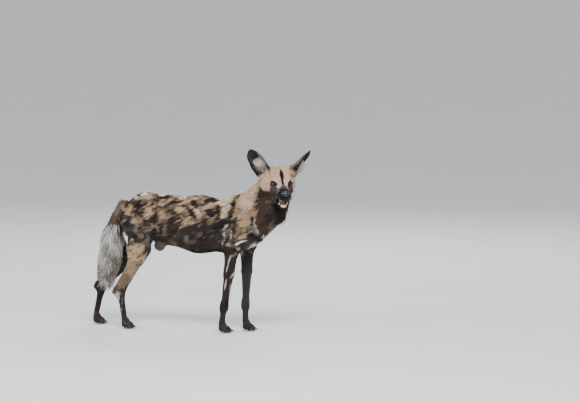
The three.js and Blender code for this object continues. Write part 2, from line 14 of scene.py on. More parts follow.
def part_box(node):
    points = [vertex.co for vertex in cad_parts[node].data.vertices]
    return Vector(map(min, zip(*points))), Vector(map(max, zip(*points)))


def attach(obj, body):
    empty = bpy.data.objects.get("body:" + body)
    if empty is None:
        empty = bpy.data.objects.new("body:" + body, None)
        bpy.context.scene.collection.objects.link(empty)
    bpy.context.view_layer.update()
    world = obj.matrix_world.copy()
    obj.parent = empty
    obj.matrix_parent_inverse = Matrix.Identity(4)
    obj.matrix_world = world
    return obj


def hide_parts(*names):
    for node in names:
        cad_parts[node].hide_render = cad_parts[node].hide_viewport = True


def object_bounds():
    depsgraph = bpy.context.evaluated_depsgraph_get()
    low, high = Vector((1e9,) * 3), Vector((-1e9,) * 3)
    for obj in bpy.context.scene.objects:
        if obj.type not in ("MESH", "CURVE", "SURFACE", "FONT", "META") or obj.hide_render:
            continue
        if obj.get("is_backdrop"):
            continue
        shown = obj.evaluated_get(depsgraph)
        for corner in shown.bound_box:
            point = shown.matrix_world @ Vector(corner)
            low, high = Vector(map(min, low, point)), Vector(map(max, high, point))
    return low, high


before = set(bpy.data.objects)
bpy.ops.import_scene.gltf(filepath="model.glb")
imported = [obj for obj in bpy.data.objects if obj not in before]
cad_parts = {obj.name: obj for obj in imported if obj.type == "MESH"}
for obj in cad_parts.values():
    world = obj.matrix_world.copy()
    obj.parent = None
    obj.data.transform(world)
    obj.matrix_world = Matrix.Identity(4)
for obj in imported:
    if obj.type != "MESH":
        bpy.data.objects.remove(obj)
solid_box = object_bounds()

print("solids:", ", ".join(sorted(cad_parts)))

# %% [markdown]
# The animal was drawn in millimetres about the middle of its trunk, and its head has a frame of its own:
# a forward to the nose, b to its left and c up. Each place could be typed in metres, but named frames let
# a lid or a stripe be written where an anatomist would measure it. The right eye ties them to the solids.

# %% Frames of the trunk and of the head
eye_low, eye_high = (np.array(corner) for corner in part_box("eye_right"))
EYE_IN_TRUNK_FRAME = np.array([468.47, -113.52, 754.57])
shift = (eye_low + eye_high) * 500 - EYE_IN_TRUNK_FRAME
HEAD_YAW, HEAD_PITCH = math.radians(-57), math.radians(14)
SKULL = np.array([480.0, -56.0, 764.0])
forward = np.array([math.cos(HEAD_YAW), math.sin(HEAD_YAW), 0])
head_axes = np.array([
    forward * math.cos(HEAD_PITCH) - [0, 0, math.sin(HEAD_PITCH)],
    [-math.sin(HEAD_YAW), math.cos(HEAD_YAW), 0],
    forward * math.sin(HEAD_PITCH) + [0, 0, math.cos(HEAD_PITCH)],
])


def metres(points):
    return (np.asarray(points, float) + shift) / 1000


def trunk_frame(points):
    return np.asarray(points, float) * 1000 - shift


def from_head(points):
    return np.asarray(points, float) @ head_axes + SKULL


def in_head(points):
    return (points - SKULL) @ head_axes.T


def blend(low, high, value):
    share = np.clip((value - low) / (high - low), 0, 1)
    return share * share * (3 - 2 * share)


print("shift of the drawing, mm:", shift.round(2))

# %% [markdown]
# A museum model stands in a plain room, so the floor is pale, without an edge in sight, and the air is
# soft and even. A painted landscape could surround it, but it would tint the coat.

# %% Floor and air
VIEW_AZIMUTH, VIEW_ELEVATION = math.radians(20), math.radians(5)
to_right = np.array([math.cos(VIEW_AZIMUTH), math.sin(VIEW_AZIMUTH), 0])
away = np.array([-math.sin(VIEW_AZIMUTH), math.cos(VIEW_AZIMUTH), 0])
look = away * math.cos(VIEW_ELEVATION) - [0, 0, math.sin(VIEW_ELEVATION)]


def pick(*pieces):
    bpy.ops.object.select_all(action="DESELECT")
    for piece in pieces:
        piece.select_set(True)
    bpy.context.view_layer.objects.active = pieces[0]


def shade_smooth(piece):
    pick(piece)
    bpy.ops.object.shade_smooth()


bpy.ops.object.select_all(action="DESELECT")
bpy.ops.mesh.primitive_plane_add(size=240, location=(0, 0, -0.0005))
floor = bpy.context.object
floor.name = "studio_floor"
floor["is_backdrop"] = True
print("floor", [round(side) for side in floor.dimensions], "m")

world = bpy.data.worlds.new("studio_air")
world.use_nodes = True
world.node_tree.nodes["Background"].inputs["Color"].default_value = (0.92, 0.94, 1.0, 1)
world.node_tree.nodes["Background"].inputs["Strength"].default_value = 0.8
bpy.context.scene.world = world

# %% [markdown]
# A small lamp would draw hard shadows of every tuft. Discs of two to three metres stand round the dog: a
# key lamp to the right of the camera, a weak one to the left, and one behind that rims the back and ears.

# %% Lamps
LAMPS = {
    "key": ((2.2, -4.4, 5.2), 2.4, 470), "fill": ((-4.2, -3.6, 2.6), 3.4, 110),
    "back": ((-0.6, 4.6, 3.8), 3.0, 150),
}
for name, (place, size, power) in LAMPS.items():
    lamp = bpy.data.lights.new(name, "AREA")
    lamp.shape, lamp.size, lamp.energy = "DISK", size, power
    holder = bpy.data.objects.new(name, lamp)
    holder.location = place
    holder.rotation_euler = (Vector((0, 0, 0.5)) - Vector(place)).to_track_quat("-Z", "Y").to_euler()
    bpy.context.collection.objects.link(holder)
print(len(LAMPS), "lamps,", sum(power for _, _, power in LAMPS.values()), "watts in all")

# %% [markdown]
# From close by, the near legs would look larger than the far ones. The camera stands well back, as a long
# lens would in the wild, so that near and far legs keep the sizes of the photograph.

# %% Camera
SENSOR_WIDTH, VIEW_WIDTH, VIEW_DISTANCE = 36, 2.9, 18.0
TARGET_ACROSS, TARGET_HEIGHT = 0.4825, 0.6475
camera = bpy.data.objects.new("camera", bpy.data.cameras.new("camera"))
camera.data.lens = SENSOR_WIDTH * VIEW_DISTANCE / VIEW_WIDTH
camera.data.sensor_width = SENSOR_WIDTH
camera.data.clip_end = 400
target = to_right * TARGET_ACROSS + [0, 0, TARGET_HEIGHT] + shift / 1000
camera.location = target - look * VIEW_DISTANCE
camera.rotation_euler = Vector(look).to_track_quat("-Z", "Y").to_euler()
bpy.context.collection.objects.link(camera)
bpy.context.scene.camera = camera
print("camera at", [round(value, 2) for value in camera.location])

# %% [markdown]
# Under the coat a dog is one skin over muscle. Sculpting it from nothing would lose the measured shape,
# so each solid is copied and its loose triangles are merged. Where the solids carry locks of hair, the
# neck and the tail get a core of their own: two balls wrapped in a hull make one tapering muscle.

# %% Copies, balls and muscles
BODY_NODES = [
    "torso", "foreleg_right", "foreleg_left", "hind_leg_right", "hind_leg_left",
    "foreleg_paw_right", "foreleg_paw_left", "hind_leg_paw_right", "hind_leg_paw_left",
]
HEAD_NODES = ["head", "lower_jaw", "ear_right", "ear_left"]


def flesh_copy(node):
    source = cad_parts[node]
    piece = bpy.data.objects.new("flesh_" + node, source.data.copy())
    bpy.context.collection.objects.link(piece)
    pick(piece)
    bpy.ops.object.mode_set(mode="EDIT")
    bpy.ops.mesh.select_all(action="SELECT")
    bpy.ops.mesh.remove_doubles(threshold=1e-5)
    bpy.ops.object.mode_set(mode="OBJECT")
    piece.data.materials.clear()
    return piece


def ball(centre, radius, stretch=(1, 1, 1), segments=24):
    bpy.ops.object.select_all(action="DESELECT")
    bpy.ops.mesh.primitive_uv_sphere_add(
        segments=segments, ring_count=segments * 2 // 3, radius=radius / 1000, location=metres(centre))
    piece = bpy.context.object
    piece.scale = stretch
    bpy.ops.object.transform_apply(location=True, rotation=True, scale=True)
    return piece


def joined(name, pieces):
    pick(*pieces)
    bpy.ops.object.join()
    bpy.context.object.name = name
    return bpy.context.object


def muscle(start, end, start_radius, end_radius, flat=1.0):
    piece = joined("muscle", [ball(start, start_radius, (1, flat, 1)), ball(end, end_radius, (1, flat, 1))])
    bpy.ops.object.mode_set(mode="EDIT")
    bpy.ops.mesh.select_all(action="SELECT")
    bpy.ops.mesh.convex_hull()
    bpy.ops.object.mode_set(mode="OBJECT")
    return piece


def finish_with(piece, kind, **settings):
    pick(piece)
    modifier = piece.modifiers.new(kind.title(), kind)
    for name, value in settings.items():
        setattr(modifier, name, value)
    bpy.ops.object.modifier_apply(modifier=modifier.name)


print(len(BODY_NODES), "nodes make the body,", len(HEAD_NODES), "the head")

# %% [markdown]
# Most muscles lie in the solids already. The ones added here fill the neck under its ruff, the left groin
# and the pouch between the thighs, and a chain of them follows the tail. Balls round the eyes leave flesh
# for the lids.

# %% Flesh of the body and of the head
TAIL_LINE = [(-372, 0, 610), (-402, 0, 572), (-420, -2, 520), (-434, -6, 450), (-446, -9, 380),
             (-458, -11, 310), (-461, -12, 262)]
TAIL_RADII = [26, 21, 18, 18, 17, 12, 7]
CORE_MUSCLES = [
    ((318, 0, 622), (400, -6, 694), 84, 76, 0.84), ((400, -6, 694), (446, -22, 744), 76, 66, 0.9),
    ((338, 0, 566), (424, -14, 640), 69, 67, 0.82), ((424, -14, 640), (464, -20, 694), 67, 57, 0.86),
    ((270, 0, 596), (318, 0, 622), 92, 84, 0.84), ((-205, 58, 506), (-275, 68, 448), 26, 26, 1.0),
    ((366, 0, 544), (428, -12, 612), 54, 56, 0.84), ((-170, -4, 474), (-173, -9, 425), 15, 32, 0.9),
]
cores = [muscle(*sizes) for sizes in CORE_MUSCLES]
for (start, end), (start_radius, end_radius) in zip(
        zip(TAIL_LINE, TAIL_LINE[1:]), zip(TAIL_RADII, TAIL_RADII[1:])):
    cores.append(muscle(start, end, start_radius, end_radius, 0.92))
body = joined("body_flesh", [flesh_copy(node) for node in BODY_NODES] + cores)
EYES = {"right": np.array([43.0, -41.0, 1.0]), "left": np.array([43.0, 41.0, 1.0])}
SOCKET_RADIUS = 13.2
sockets = [ball(from_head(centre), SOCKET_RADIUS) for centre in EYES.values()]
face = joined("head_flesh", [flesh_copy(node) for node in HEAD_NODES] + sockets)
print("flesh:", len(body.data.polygons), "faces on the body,", len(face.data.polygons), "on the head")

# %% [markdown]
# The overlapping muscles have to become one closed sheet. A Boolean union would keep every facet, so a
# voxel remesh is used: fine on the head and ears, coarser on the body. A few rounds of smoothing melt the
# facets, and a union then joins head to neck.

# %% One skin
for flesh, voxel, rounds in ((body, 0.0044, 9), (face, 0.0025, 7)):
    finish_with(flesh, "REMESH", mode="VOXEL", voxel_size=voxel)
    finish_with(flesh, "SMOOTH", factor=0.5, iterations=rounds)


def places(mesh):
    points = np.empty(len(mesh.vertices) * 3)
    mesh.vertices.foreach_get("co", points)
    return points.reshape(-1, 3)


def move(mesh, points):
    mesh.vertices.foreach_set("co", points.ravel())
    mesh.update()


def outward(mesh):
    normals = np.empty(len(mesh.vertices) * 3)
    mesh.vertices.foreach_get("normal", normals)
    return normals.reshape(-1, 3)


def refine_near(piece, centres, reach, cuts):
    pick(piece)
    middles = np.empty(len(piece.data.polygons) * 3)
    piece.data.polygons.foreach_get("center", middles)
    middles = in_head(trunk_frame(middles.reshape(-1, 3)))
    near = np.min([np.linalg.norm(middles - centre, axis=1) for centre in centres], axis=0) < reach
    bpy.ops.object.mode_set(mode="EDIT")
    bpy.ops.mesh.select_mode(type="FACE")
    bpy.ops.mesh.select_all(action="DESELECT")
    bpy.ops.object.mode_set(mode="OBJECT")
    piece.data.polygons.foreach_set("select", near)
    bpy.ops.object.mode_set(mode="EDIT")
    bpy.ops.mesh.subdivide(number_cuts=cuts, smoothness=0)
    bpy.ops.object.mode_set(mode="OBJECT")


refine_near(face, list(EYES.values()), reach=27, cuts=3)
print("head skin:", len(face.data.vertices), "points;", "body skin:", len(body.data.vertices), "points")

# %% [markdown]
# Lids are what makes an eye look alive. They could be separate strips, but on an animal they are the
# skin itself, so the skin round each eye is pulled back inside an almond and raised to a rim about it,
# with a crease above.

# %% Lids
EYE_RADIUS, ALMOND_HALF_LENGTH, ALMOND_HALF_HEIGHT = 12, 13.2, 6.9
OPENING_RADIUS, RIM_RISE, CREASE_DEPTH = 9.2, 4.7, 0.7


def eye_directions(side):
    way = -1 if side == "right" else 1
    out = np.array([0.84, 0.5 * way, 0.16])
    out /= np.linalg.norm(out)
    inner = np.array([0.45, -0.86 * way, -0.3])
    inner -= out * inner.dot(out)
    inner /= np.linalg.norm(inner)
    up = np.cross(out, inner) * (1 if side == "right" else -1)
    return out, inner, up if up[2] > 0 else -up


def almond(directions, side):
    out, inner, up = eye_directions(side)
    ahead = np.maximum(directions @ out, 0.2)
    across, high = directions @ inner / ahead * EYE_RADIUS, directions @ up / ahead * EYE_RADIUS
    taper = 1 - 0.5 * np.clip(np.abs(across) / 15, 0, 1) ** 1.5
    openness = np.hypot(across / ALMOND_HALF_LENGTH, high / (ALMOND_HALF_HEIGHT * taper))
    return np.where(directions @ out > 0.2, openness, 9), high


def shape_lids(points):
    for side, centre in EYES.items():
        arms = points - centre
        length = np.linalg.norm(arms, axis=1)
        directions = arms / length[:, None]
        openness, high = almond(directions, side)
        rim = OPENING_RADIUS + RIM_RISE * blend(0.9, 1.14, openness)
        rim -= CREASE_DEPTH * np.exp(-((openness - 1.75) / 0.16) ** 2) * (high > 0)
        hold = (1 - blend(1.35, 2.3, openness)) * (1 - blend(22, 27, length))
        length = length * (1 - hold) + rim * hold
        points = centre + directions * length[:, None]
    return points


print("lids shaped for the", " and ".join(EYES), "eye")

# %% [markdown]
# Brows, cheeks and whisker pads are low mounds, and the forehead and the bridge of the nose are hollows.
# They could be modelled one by one, but as a place, a reach and a height each is the same on both sides.

# %% Brows, cheeks and whisker pads
HEAD_MOUNDS = [
    (52, 30, 21, 12, 2.4), (66, 25, 10, 10, 1.2), (116, 21, -36, 13, 2.2), (96, 25, -44, 11, 1.2),
    (12, 66, -22, 26, 3), (60, 34, -22, 12, -1.4), (84, 13, -6, 10, -0.8), (104, 12, -88, 10, 1.0),
    (20, 30, 44, 22, 2.0), (36, 0, 36, 8, -1.6), (58, 0, 18, 8, -1.4), (72, 0, 4, 8, -0.8),
]


def raise_mounds(points, normals, mounds):
    for a, b, c, reach, height in mounds:
        for way in ((1,) if b == 0 else (1, -1)):
            far = np.linalg.norm(points - [a, b * way, c], axis=1) / reach
            points = points + normals * (height * np.exp(-far ** 2))[:, None]
    return points


face_points = in_head(trunk_frame(places(face.data)))
face_points = raise_mounds(face_points, outward(face.data) @ head_axes.T, HEAD_MOUNDS)
face_points = shape_lids(face_points)
move(face.data, metres(from_head(face_points)))
print(len(HEAD_MOUNDS), "mounds on the head, the lids over them")

# %% [markdown]
# The head is then joined to the neck. The union leaves a crease where they cross, which a real neck
# hasn't, so the points close to both parts are relaxed towards their neighbours. A second easing, in a
# band where the neck leaves the trunk, takes away the step that the neck's core makes there.

# %% Join head and neck
def tree_of(points):
    tree = KDTree(len(points))
    for index, point in enumerate(points):
        tree.insert(point, index)
    tree.balance()
    return tree


def nearest_gap(points, other):
    tree = tree_of(other)
    return np.array([tree.find(point)[2] for point in points])


def edge_ends(mesh):
    edges = np.empty(len(mesh.edges) * 2, int)
    mesh.edges.foreach_get("vertices", edges)
    return edges.reshape(-1, 2).T


def relax(mesh, weight, rounds):
    one, two = edge_ends(mesh)
    points = places(mesh)
    count = np.maximum(np.bincount(one, minlength=len(points)) + np.bincount(two, minlength=len(points)), 1)
    for _ in range(rounds):
        middle = np.stack([
            np.bincount(one, points[two, axis], len(points))
            + np.bincount(two, points[one, axis], len(points)) for axis in range(3)], axis=1) / count[:, None]
        points = points + (middle - points) * weight[:, None]
    move(mesh, points)


body_points, head_points = places(body.data), places(face.data)
pick(body)
union = body.modifiers.new("Union", "BOOLEAN")
union.operation, union.solver, union.object = "UNION", "MANIFOLD", face
bpy.ops.object.modifier_apply(modifier="Union")
bpy.data.objects.remove(face)
skin = body
skin.name = "skin"
skin_points = places(skin.data)
both = np.maximum(nearest_gap(skin_points, body_points), nearest_gap(skin_points, head_points))
seam = 1 - blend(0.006, 0.016, both)
relax(skin.data, seam * 0.6, 24)
NECK_ROOT, NECK_DIRECTION = [292, 0, 600], [0.741, 0, 0.671]
collar = (trunk_frame(places(skin.data)) - NECK_ROOT) @ NECK_DIRECTION
relax(skin.data, 0.55 * np.exp(-(collar / 30) ** 2), 50)
print("skin:", len(skin.data.polygons), "faces,", int((seam > 0.5).sum()), "points eased at the neck")

# %% [markdown]
# Each point of the skin has to know which part of the animal it belongs to, for the length, lie and
# colour of its coat. Painting that by hand would take long, so points are scattered on every solid and
# each skin point takes the name of its nearest one.

# %% Parts of the animal on the skin
FLESH = BODY_NODES + HEAD_NODES + ["neck", "tail"]
PART = {node: index for index, node in enumerate(FLESH)}


def triangles(mesh):
    mesh.calc_loop_triangles()
    corners = np.empty(len(mesh.loop_triangles) * 3, int)
    mesh.loop_triangles.foreach_get("vertices", corners)
    return corners.reshape(-1, 3)


def sow(points, corners, count, random):
    a, b, c = (points[corners[:, k]] for k in range(3))
    reach = np.cumsum(np.linalg.norm(np.cross(b - a, c - a), axis=1) / 2)
    chosen = np.searchsorted(reach, random.random(count) * reach[-1])
    chosen = np.minimum(chosen, len(corners) - 1)
    first, second = random.random((2, count))
    fold = first + second > 1
    first, second = np.where(fold, 1 - first, first), np.where(fold, 1 - second, second)
    shares = np.stack([1 - first - second, first, second], axis=1)
    return chosen, shares


SEEDS_PER_NODE = 2600
random = np.random.default_rng(7)
tree_points, tree_parts = [], []
for node in FLESH:
    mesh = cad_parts[node].data
    points, corners = places(mesh), triangles(mesh)
    chosen, shares = sow(points, corners, SEEDS_PER_NODE, random)
    tree_points.append(np.einsum("nk,nkj->nj", shares, points[corners[chosen]]))
    tree_parts += [PART[node]] * SEEDS_PER_NODE
tree = tree_of(np.concatenate(tree_points))
skin_points = places(skin.data)
skin_part = np.array([tree_parts[tree.find(point)[1]] for point in skin_points])
print({node: int((skin_part == PART[node]).sum()) for node in FLESH})

# %% [markdown]
# The solids reach to the tips of the coat, so the skin lies inside them by its depth. One scale for all
# would starve the legs, so the depth follows the part and is averaged over its edges. Ribs, hip and
# shoulder blade show through a lean dog's coat, so low ridges are raised along lines.

# %% Draw the skin in and raise the bones
COAT_DEPTH = {"torso": 5.6, "neck": 3.0, "tail": 1.5, "head": 1.2, "lower_jaw": 0.8, "ear_right": 0.6,
              "ear_left": 0.6}
depth_of_part = np.array([COAT_DEPTH.get(node, 1.0 if "paw" in node else 1.8) for node in FLESH])
BONES = [
    ((206, 56, 626), (300, 84, 500), 16, 3.0), ((-300, 52, 606), (-262, 60, 598), 20, 4.0),
    ((-236, 96, 470), (-210, 92, 400), 18, 3.0), ((-150, 72, 560), (-170, 88, 440), 26, -3.5),
    ((300, 90, 500), (226, 84, 420), 22, 3.5), ((180, 92, 560), (160, 96, 430), 18, -2.5),
] + [((130 - 34 * rib, 84, 590), (96 - 38 * rib, 96, 440), 10, 1.6) for rib in range(6)]


def near_line(points, start, end):
    start, end = np.array(start, float), np.array(end, float)
    along = np.clip((points - start) @ (end - start) / np.sum((end - start) ** 2), 0, 1)
    return np.linalg.norm(points - start - along[:, None] * (end - start), axis=1)


def averaged(mesh, values, rounds):
    one, two = edge_ends(mesh)
    count = np.bincount(one, minlength=len(values)) + np.bincount(two, minlength=len(values)) + 1
    for _ in range(rounds):
        values = (values + np.bincount(one, values[two], len(values))
                  + np.bincount(two, values[one], len(values))) / count
    return values


normals = outward(skin.data)
drawn = -averaged(skin.data, depth_of_part[skin_part], 8)
points = trunk_frame(skin_points)
for start, end, reach, height in BONES:
    for way in (1, -1):
        far = near_line(points, np.multiply(start, (1, way, 1)), np.multiply(end, (1, way, 1)))
        drawn = drawn + height * np.exp(-(far / reach) ** 2)
points = points + normals * drawn[:, None]
SOLE_REACH, SOLE_HEIGHT = 2.4, 0.15
sole = points[:, 2] + shift[2] < SOLE_REACH
points[sole, 2] = SOLE_HEIGHT - shift[2]
move(skin.data, metres(points))
shade_smooth(skin)
print("coat depth", depth_of_part.min(), "to", depth_of_part.max(), "mm;", int(sole.sum()), "sole points")

# %% [markdown]
# A painted dog is named for its coat: black, tan and white blotches, different on every animal. An image
# would be easy but would carry a photograph, so each mark is a named ellipse with a ragged edge. A mark
# is (across, down, half length, half width, angle, tone), measured on a side view of 5 mm to a unit.
# One black mark on the rump is painted shadow in the fold of the flank, and the right thigh's darker tan
# is partly painted shade.

# %% Tones and marks of the trunk
TONES = {
    "black": (0.010, 0.009, 0.010), "dark": (0.028, 0.021, 0.018), "brown": (0.062, 0.042, 0.029),
    "umber": (0.150, 0.105, 0.068), "tan": (0.395, 0.275, 0.172), "orange": (0.430, 0.245, 0.115),
    "sand": (0.540, 0.395, 0.265), "cream": (0.610, 0.485, 0.350), "white": (0.760, 0.730, 0.690),
    "ash": (0.430, 0.400, 0.370), "grey": (0.105, 0.088, 0.076), "slate": (0.062, 0.050, 0.055),
    "coal": (0.036, 0.031, 0.031), "face": (0.560, 0.385, 0.275),
    # The darker tan for the right thigh on the next line is partly the coat's own tone and partly painted
    # shade.
    "fawn_and_shade": (0.270, 0.195, 0.130), "silver": (0.300, 0.282, 0.262), "flesh": (0.130, 0.045, 0.045),
    "belly": (0.175, 0.140, 0.112),
}
RUMP_MARKS = [
    (134, 258, 15, 12, 80, "tan"), (143.5, 195, 7, 1.3, 21, "white"), (163, 194.2, 4.8, 1, -10, "white"),
    (130, 197.5, 7.5, 1.2, 27, "orange"), (123, 205, 5, 0.9, 42, "white"),
    (130, 200.8, 7, 0.8, 30, "black"), (123, 218.5, 9, 0.9, 88, "black"),
    (141, 204.5, 5, 3.6, 60, "black"), (139, 211.5, 4.5, 2, 10, "dark"),
    (143.7, 218.6, 5.5, 1.3, -62, "black"), (131, 218.5, 4, 1.1, 50, "black"),
    (129.8, 210.7, 5.5, 2.8, 60, "tan"), (138.5, 220.2, 5, 3, 20, "tan"),
    (141.8, 234.7, 3.5, 3.2, 0, "umber"), (149.3, 212, 6, 3, 75, "tan"), (148.5, 197.4, 5, 2, 0, "tan"),
    (153.5, 203.2, 2.2, 1.8, 0, "dark"), (156, 213, 10, 1.1, 75, "black"),
    # The black mark at (155.5, 232.7) is painted shadow in the fold between flank and thigh, not a blotch of
    # the coat.
    (155.5, 232.7, 5.5, 3, 80, "black"), (134, 236.5, 5, 3.4, -60, "black"),
    (131, 238.5, 1.6, 1.6, 0, "tan"), (138.5, 240.1, 5.5, 2, 0, "dark"),
    (125.5, 236, 6.5, 1.5, -70, "white"), (128.2, 237.7, 4.5, 0.8, -85, "black"),
]
FLANK_MARKS = [
    (162, 197.3, 5, 0.8, -5, "black"), (163.3, 201.8, 3.5, 1.8, 25, "tan"),
    (175.5, 202.3, 10, 1.3, 19, "black"), (170.4, 197.2, 4, 0.9, 15, "black"),
    (181.5, 196.3, 6.5, 1.3, -8, "cream"), (182, 206.3, 6.5, 1.2, 18, "black"),
    (186, 200.5, 4, 1.5, 18, "tan"), (196.9, 201.8, 3.6, 2.4, 10, "black"),
    (212.8, 200.8, 6.5, 2, 0, "black"), (201, 198.3, 3.5, 0.7, 0, "cream"),
    (211.2, 206.9, 7, 2.2, 20, "tan"), (216, 211.8, 9, 2.2, 33, "black"),
    (220.9, 205.4, 2.6, 2.2, 0, "black"), (195.9, 215.1, 3.8, 1.6, -45, "black"),
    (192.3, 209.5, 3.6, 0.7, 45, "black"), (199, 210.5, 3.5, 2.5, 0, "sand"),
    (204, 215, 4.5, 2.4, 30, "tan"), (180.6, 209.5, 6, 3, 0, "tan"), (189.8, 221.7, 6.5, 3.6, 15, "tan"),
    (213.3, 219.7, 4.5, 2.6, 30, "umber"), (208.7, 220.2, 2, 1, 0, "black"),
    (220.4, 225.8, 6, 3.4, 20, "black"), (170, 221, 7, 0.8, 58, "black"), (163, 229, 7, 0.8, 54, "dark"),
    (196, 253, 40, 2.6, 2, "black"), (176, 232, 8, 0.8, 55, "black"), (186, 238, 8, 0.8, 52, "black"),
    (200, 240, 9, 0.9, 45, "black"), (212, 234, 9, 0.9, 40, "black"), (206, 228, 6, 1.6, 25, "dark"),
    (192, 231, 8, 0.7, 50, "dark"),
]
SHOULDER_MARKS = [
    (229, 200, 10, 3, 15, "cream"), (228, 208.9, 6, 3, 60, "cream"), (226, 215.6, 4.5, 3, 60, "sand"),
    (238.5, 201.5, 6, 1.8, 62, "black"), (233.8, 213.5, 7.5, 1.4, 75, "black"),
    (230.5, 222.5, 5, 1.6, 60, "black"), (224, 224.7, 8, 3.5, 25, "black"),
    (247.1, 216.1, 12, 6.5, 80, "tan"), (249.5, 200.8, 7.5, 5.5, 0, "sand"),
    (257, 188, 13, 6, 50, "sand"), (250, 194, 9, 4, 42, "sand"), (239.9, 217, 1.6, 1.1, 0, "black"),
    (238, 209, 1.5, 1, 0, "black"), (237, 215, 3, 1.3, 85, "tan"), (254.6, 218, 10, 0.9, 90, "black"),
    (258, 219.5, 10, 1.7, 86, "ash"), (270, 214, 22, 10, 80, "brown"), (280, 212, 14, 10, 80, "dark"),
    (272, 228, 12, 2.2, 75, "umber"), (263.5, 201, 6, 4.5, 60, "brown"), (268, 192, 6, 5.5, 60, "brown"),
    (269, 203, 8, 6, 0, "brown"), (255.2, 201.7, 4, 1, 90, "orange"), (235.6, 232.8, 7, 1.8, 80, "black"),
    (228, 237.6, 7, 1.8, 85, "black"), (226.5, 235.2, 10, 0.5, 78, "white"),
    (232.3, 235.2, 6, 1, 85, "tan"), (231.8, 244.3, 2, 1.2, 0, "tan"),
    (243.3, 235.2, 6.5, 3.5, 20, "tan"), (243.3, 240, 7, 0.7, 25, "black"),
    (243.3, 241.9, 6, 1, 25, "white"), (255.2, 243.9, 7.5, 1.5, 50, "ash"),
    (254.8, 233.8, 4, 2.6, 0, "black"), (251.4, 240, 2.2, 1.8, 0, "brown"),
    (252.8, 231.4, 2, 0.6, 30, "white"), (261, 238.6, 4, 2, 0, "black"),
    (264.8, 235.2, 4.5, 0.6, 85, "white"), (252.8, 251, 8, 3, 35, "black"),
    (234.5, 253, 6, 5, 0, "black"), (240.4, 248.2, 2, 1.5, 0, "tan"), (245.2, 252, 3, 2, 0, "tan"),
    (235.6, 254.4, 3.5, 2.4, 0, "tan"), (230.8, 255.8, 3.5, 0.9, 60, "white"),
]
LEG_MARKS = {
    "foreleg_right": [
        (232, 275, 26, 8, 85, "dark"), (230, 258.5, 4, 0.7, 70, "ash"), (234, 272.5, 5.5, 0.7, 50, "ash"),
        (228, 266, 5, 0.5, 75, "ash"), (238, 264, 6, 1.0, 70, "umber"), (231.5, 292, 8, 1.6, 88, "tan"),
        (226, 283, 5, 0.7, 80, "ash"), (220.5, 304, 8, 1.6, 85, "black"),
        (227.5, 303, 4.5, 2.6, 80, "black"), (229, 314, 5, 3, 85, "umber"),
    ],
    "foreleg_left": [
        (250, 285, 36, 10, 88, "coal"), (252, 290, 20, 2.4, 88, "grey"),
        (252.5, 275, 10, 1.3, 88, "black"), (249.5, 312, 4, 2, 85, "black"),
    ],
    "hind_leg_right": [
        # The first mark of the right thigh is darker than tan: partly its own tone, partly painted shade.
        (128, 272, 12, 8, 70, "fawn_and_shade"), (120, 280, 10, 7, 60, "umber"), (112, 292, 8, 5, 60, "brown"),
        (115, 306, 14, 5, 85, "ash"), (119, 306, 12, 1.2, 85, "black"),
    ],
    "hind_leg_left": [
        (92, 262, 14, 9, 60, "umber"), (84, 290, 9, 6, 60, "brown"), (82, 306, 14, 5, 85, "ash"),
        (86, 306, 12, 1.2, 85, "black"),
    ],
}
print(len(RUMP_MARKS + FLANK_MARKS + SHOULDER_MARKS), "marks on the trunk")

# %% [markdown]
# The face has marks of its own, given as soft balls in the head's frame: a black line down the brow, dark
# rings and patches at the eyes, and a black muzzle. Most are mirrored to both cheeks.

# %% Marks of the head
HEAD_MARKS = [
    ((-40, 0, 10), (60, 110, 70), "sand", 2), ((-70, 0, 0), (34, 60, 60), "cream", 2),
    ((20, 62, -72), (46, 34, 32), "brown", 2), ((-30, 60, -60), (40, 40, 30), "dark", 2),
    ((50, 0, 26), (70, 7.0, 62), "black", 2), ((30, 0, 38), (40, 11.5, 26), "black", 2),
    ((48, 43, 1), (24, 22, 19), "black", 2), ((62, 40, -26), (30, 24, 25), "slate", 2),
    ((42, 52, -62), (40, 30, 26), "brown", 2), ((72, 0, -6), (28, 17, 14), "umber", 2),
    ((96, 0, -12), (30, 22, 18), "slate", 2), ((112, 0, -34), (36, 38, 34), "black", 2),
    ((86, 30, -52), (34, 18, 22), "black", 2), ((80, 0, -96), (70, 50, 36), "black", 2),
    ((50, 46, -66), (16, 12, 13), "black", 2), ((60, 50, -72), (34, 26, 24), "dark", 2),
    ((34, 58, -86), (40, 30, 28), "brown", 2), ((4, 86, -44), (32, 26, 26), "white", 1),
    ((78, 0, -66), (44, 20, 16), "flesh", 2),
]
EARS = {"right": {"root": (-34, -58, 30), "tip": (-62, -150, 146), "facing": 40},
        "left": {"root": (-34, 58, 30), "tip": (-60, 166, 136), "facing": 72}}
print(len(HEAD_MARKS), "marks on the head")

# %% [markdown]
# Hair never ends in a clean line, so every mark's edge is broken by noise. A noise node could do that on
# the skin alone, but a tuft needs the tone of the skin at its root, so the noise is worked out here, point
# by point: random values at the corners of a lattice, mixed smoothly in between.

# %% Noise and stain
def noise(points, size, seed):
    grid = points / size + seed * 17.31
    cell = np.floor(grid).astype(np.int64)
    part = grid - cell
    part = part * part * (3 - 2 * part)
    total = np.zeros(len(points))
    for corner in range(8):
        step = np.array([(corner >> axis) & 1 for axis in range(3)])
        weight = np.prod(np.where(step, part, 1 - part), axis=1)
        key = (cell + step) @ np.array([73856093, 19349663, 83492791])
        key = (key ^ (key >> 13)) * 1274126177
        total += weight * (((key ^ (key >> 16)) & 1023) / 511.5 - 1)
    return total


def stain(colours, mask, tone):
    return colours * (1 - mask[:, None]) + np.array(TONES[tone]) * mask[:, None]


print("noise between", noise(skin_points * 1000, 11, 1).min().round(2), "and",
      noise(skin_points * 1000, 11, 1).max().round(2))

# %% [markdown]
# A mark needs a place that both skin and hair can work out. The trunk and legs are seen from a fixed side,
# turned 20 degrees and tilted 5, in units of 5 mm. Each ear is measured from its root up and from its
# middle line outwards.

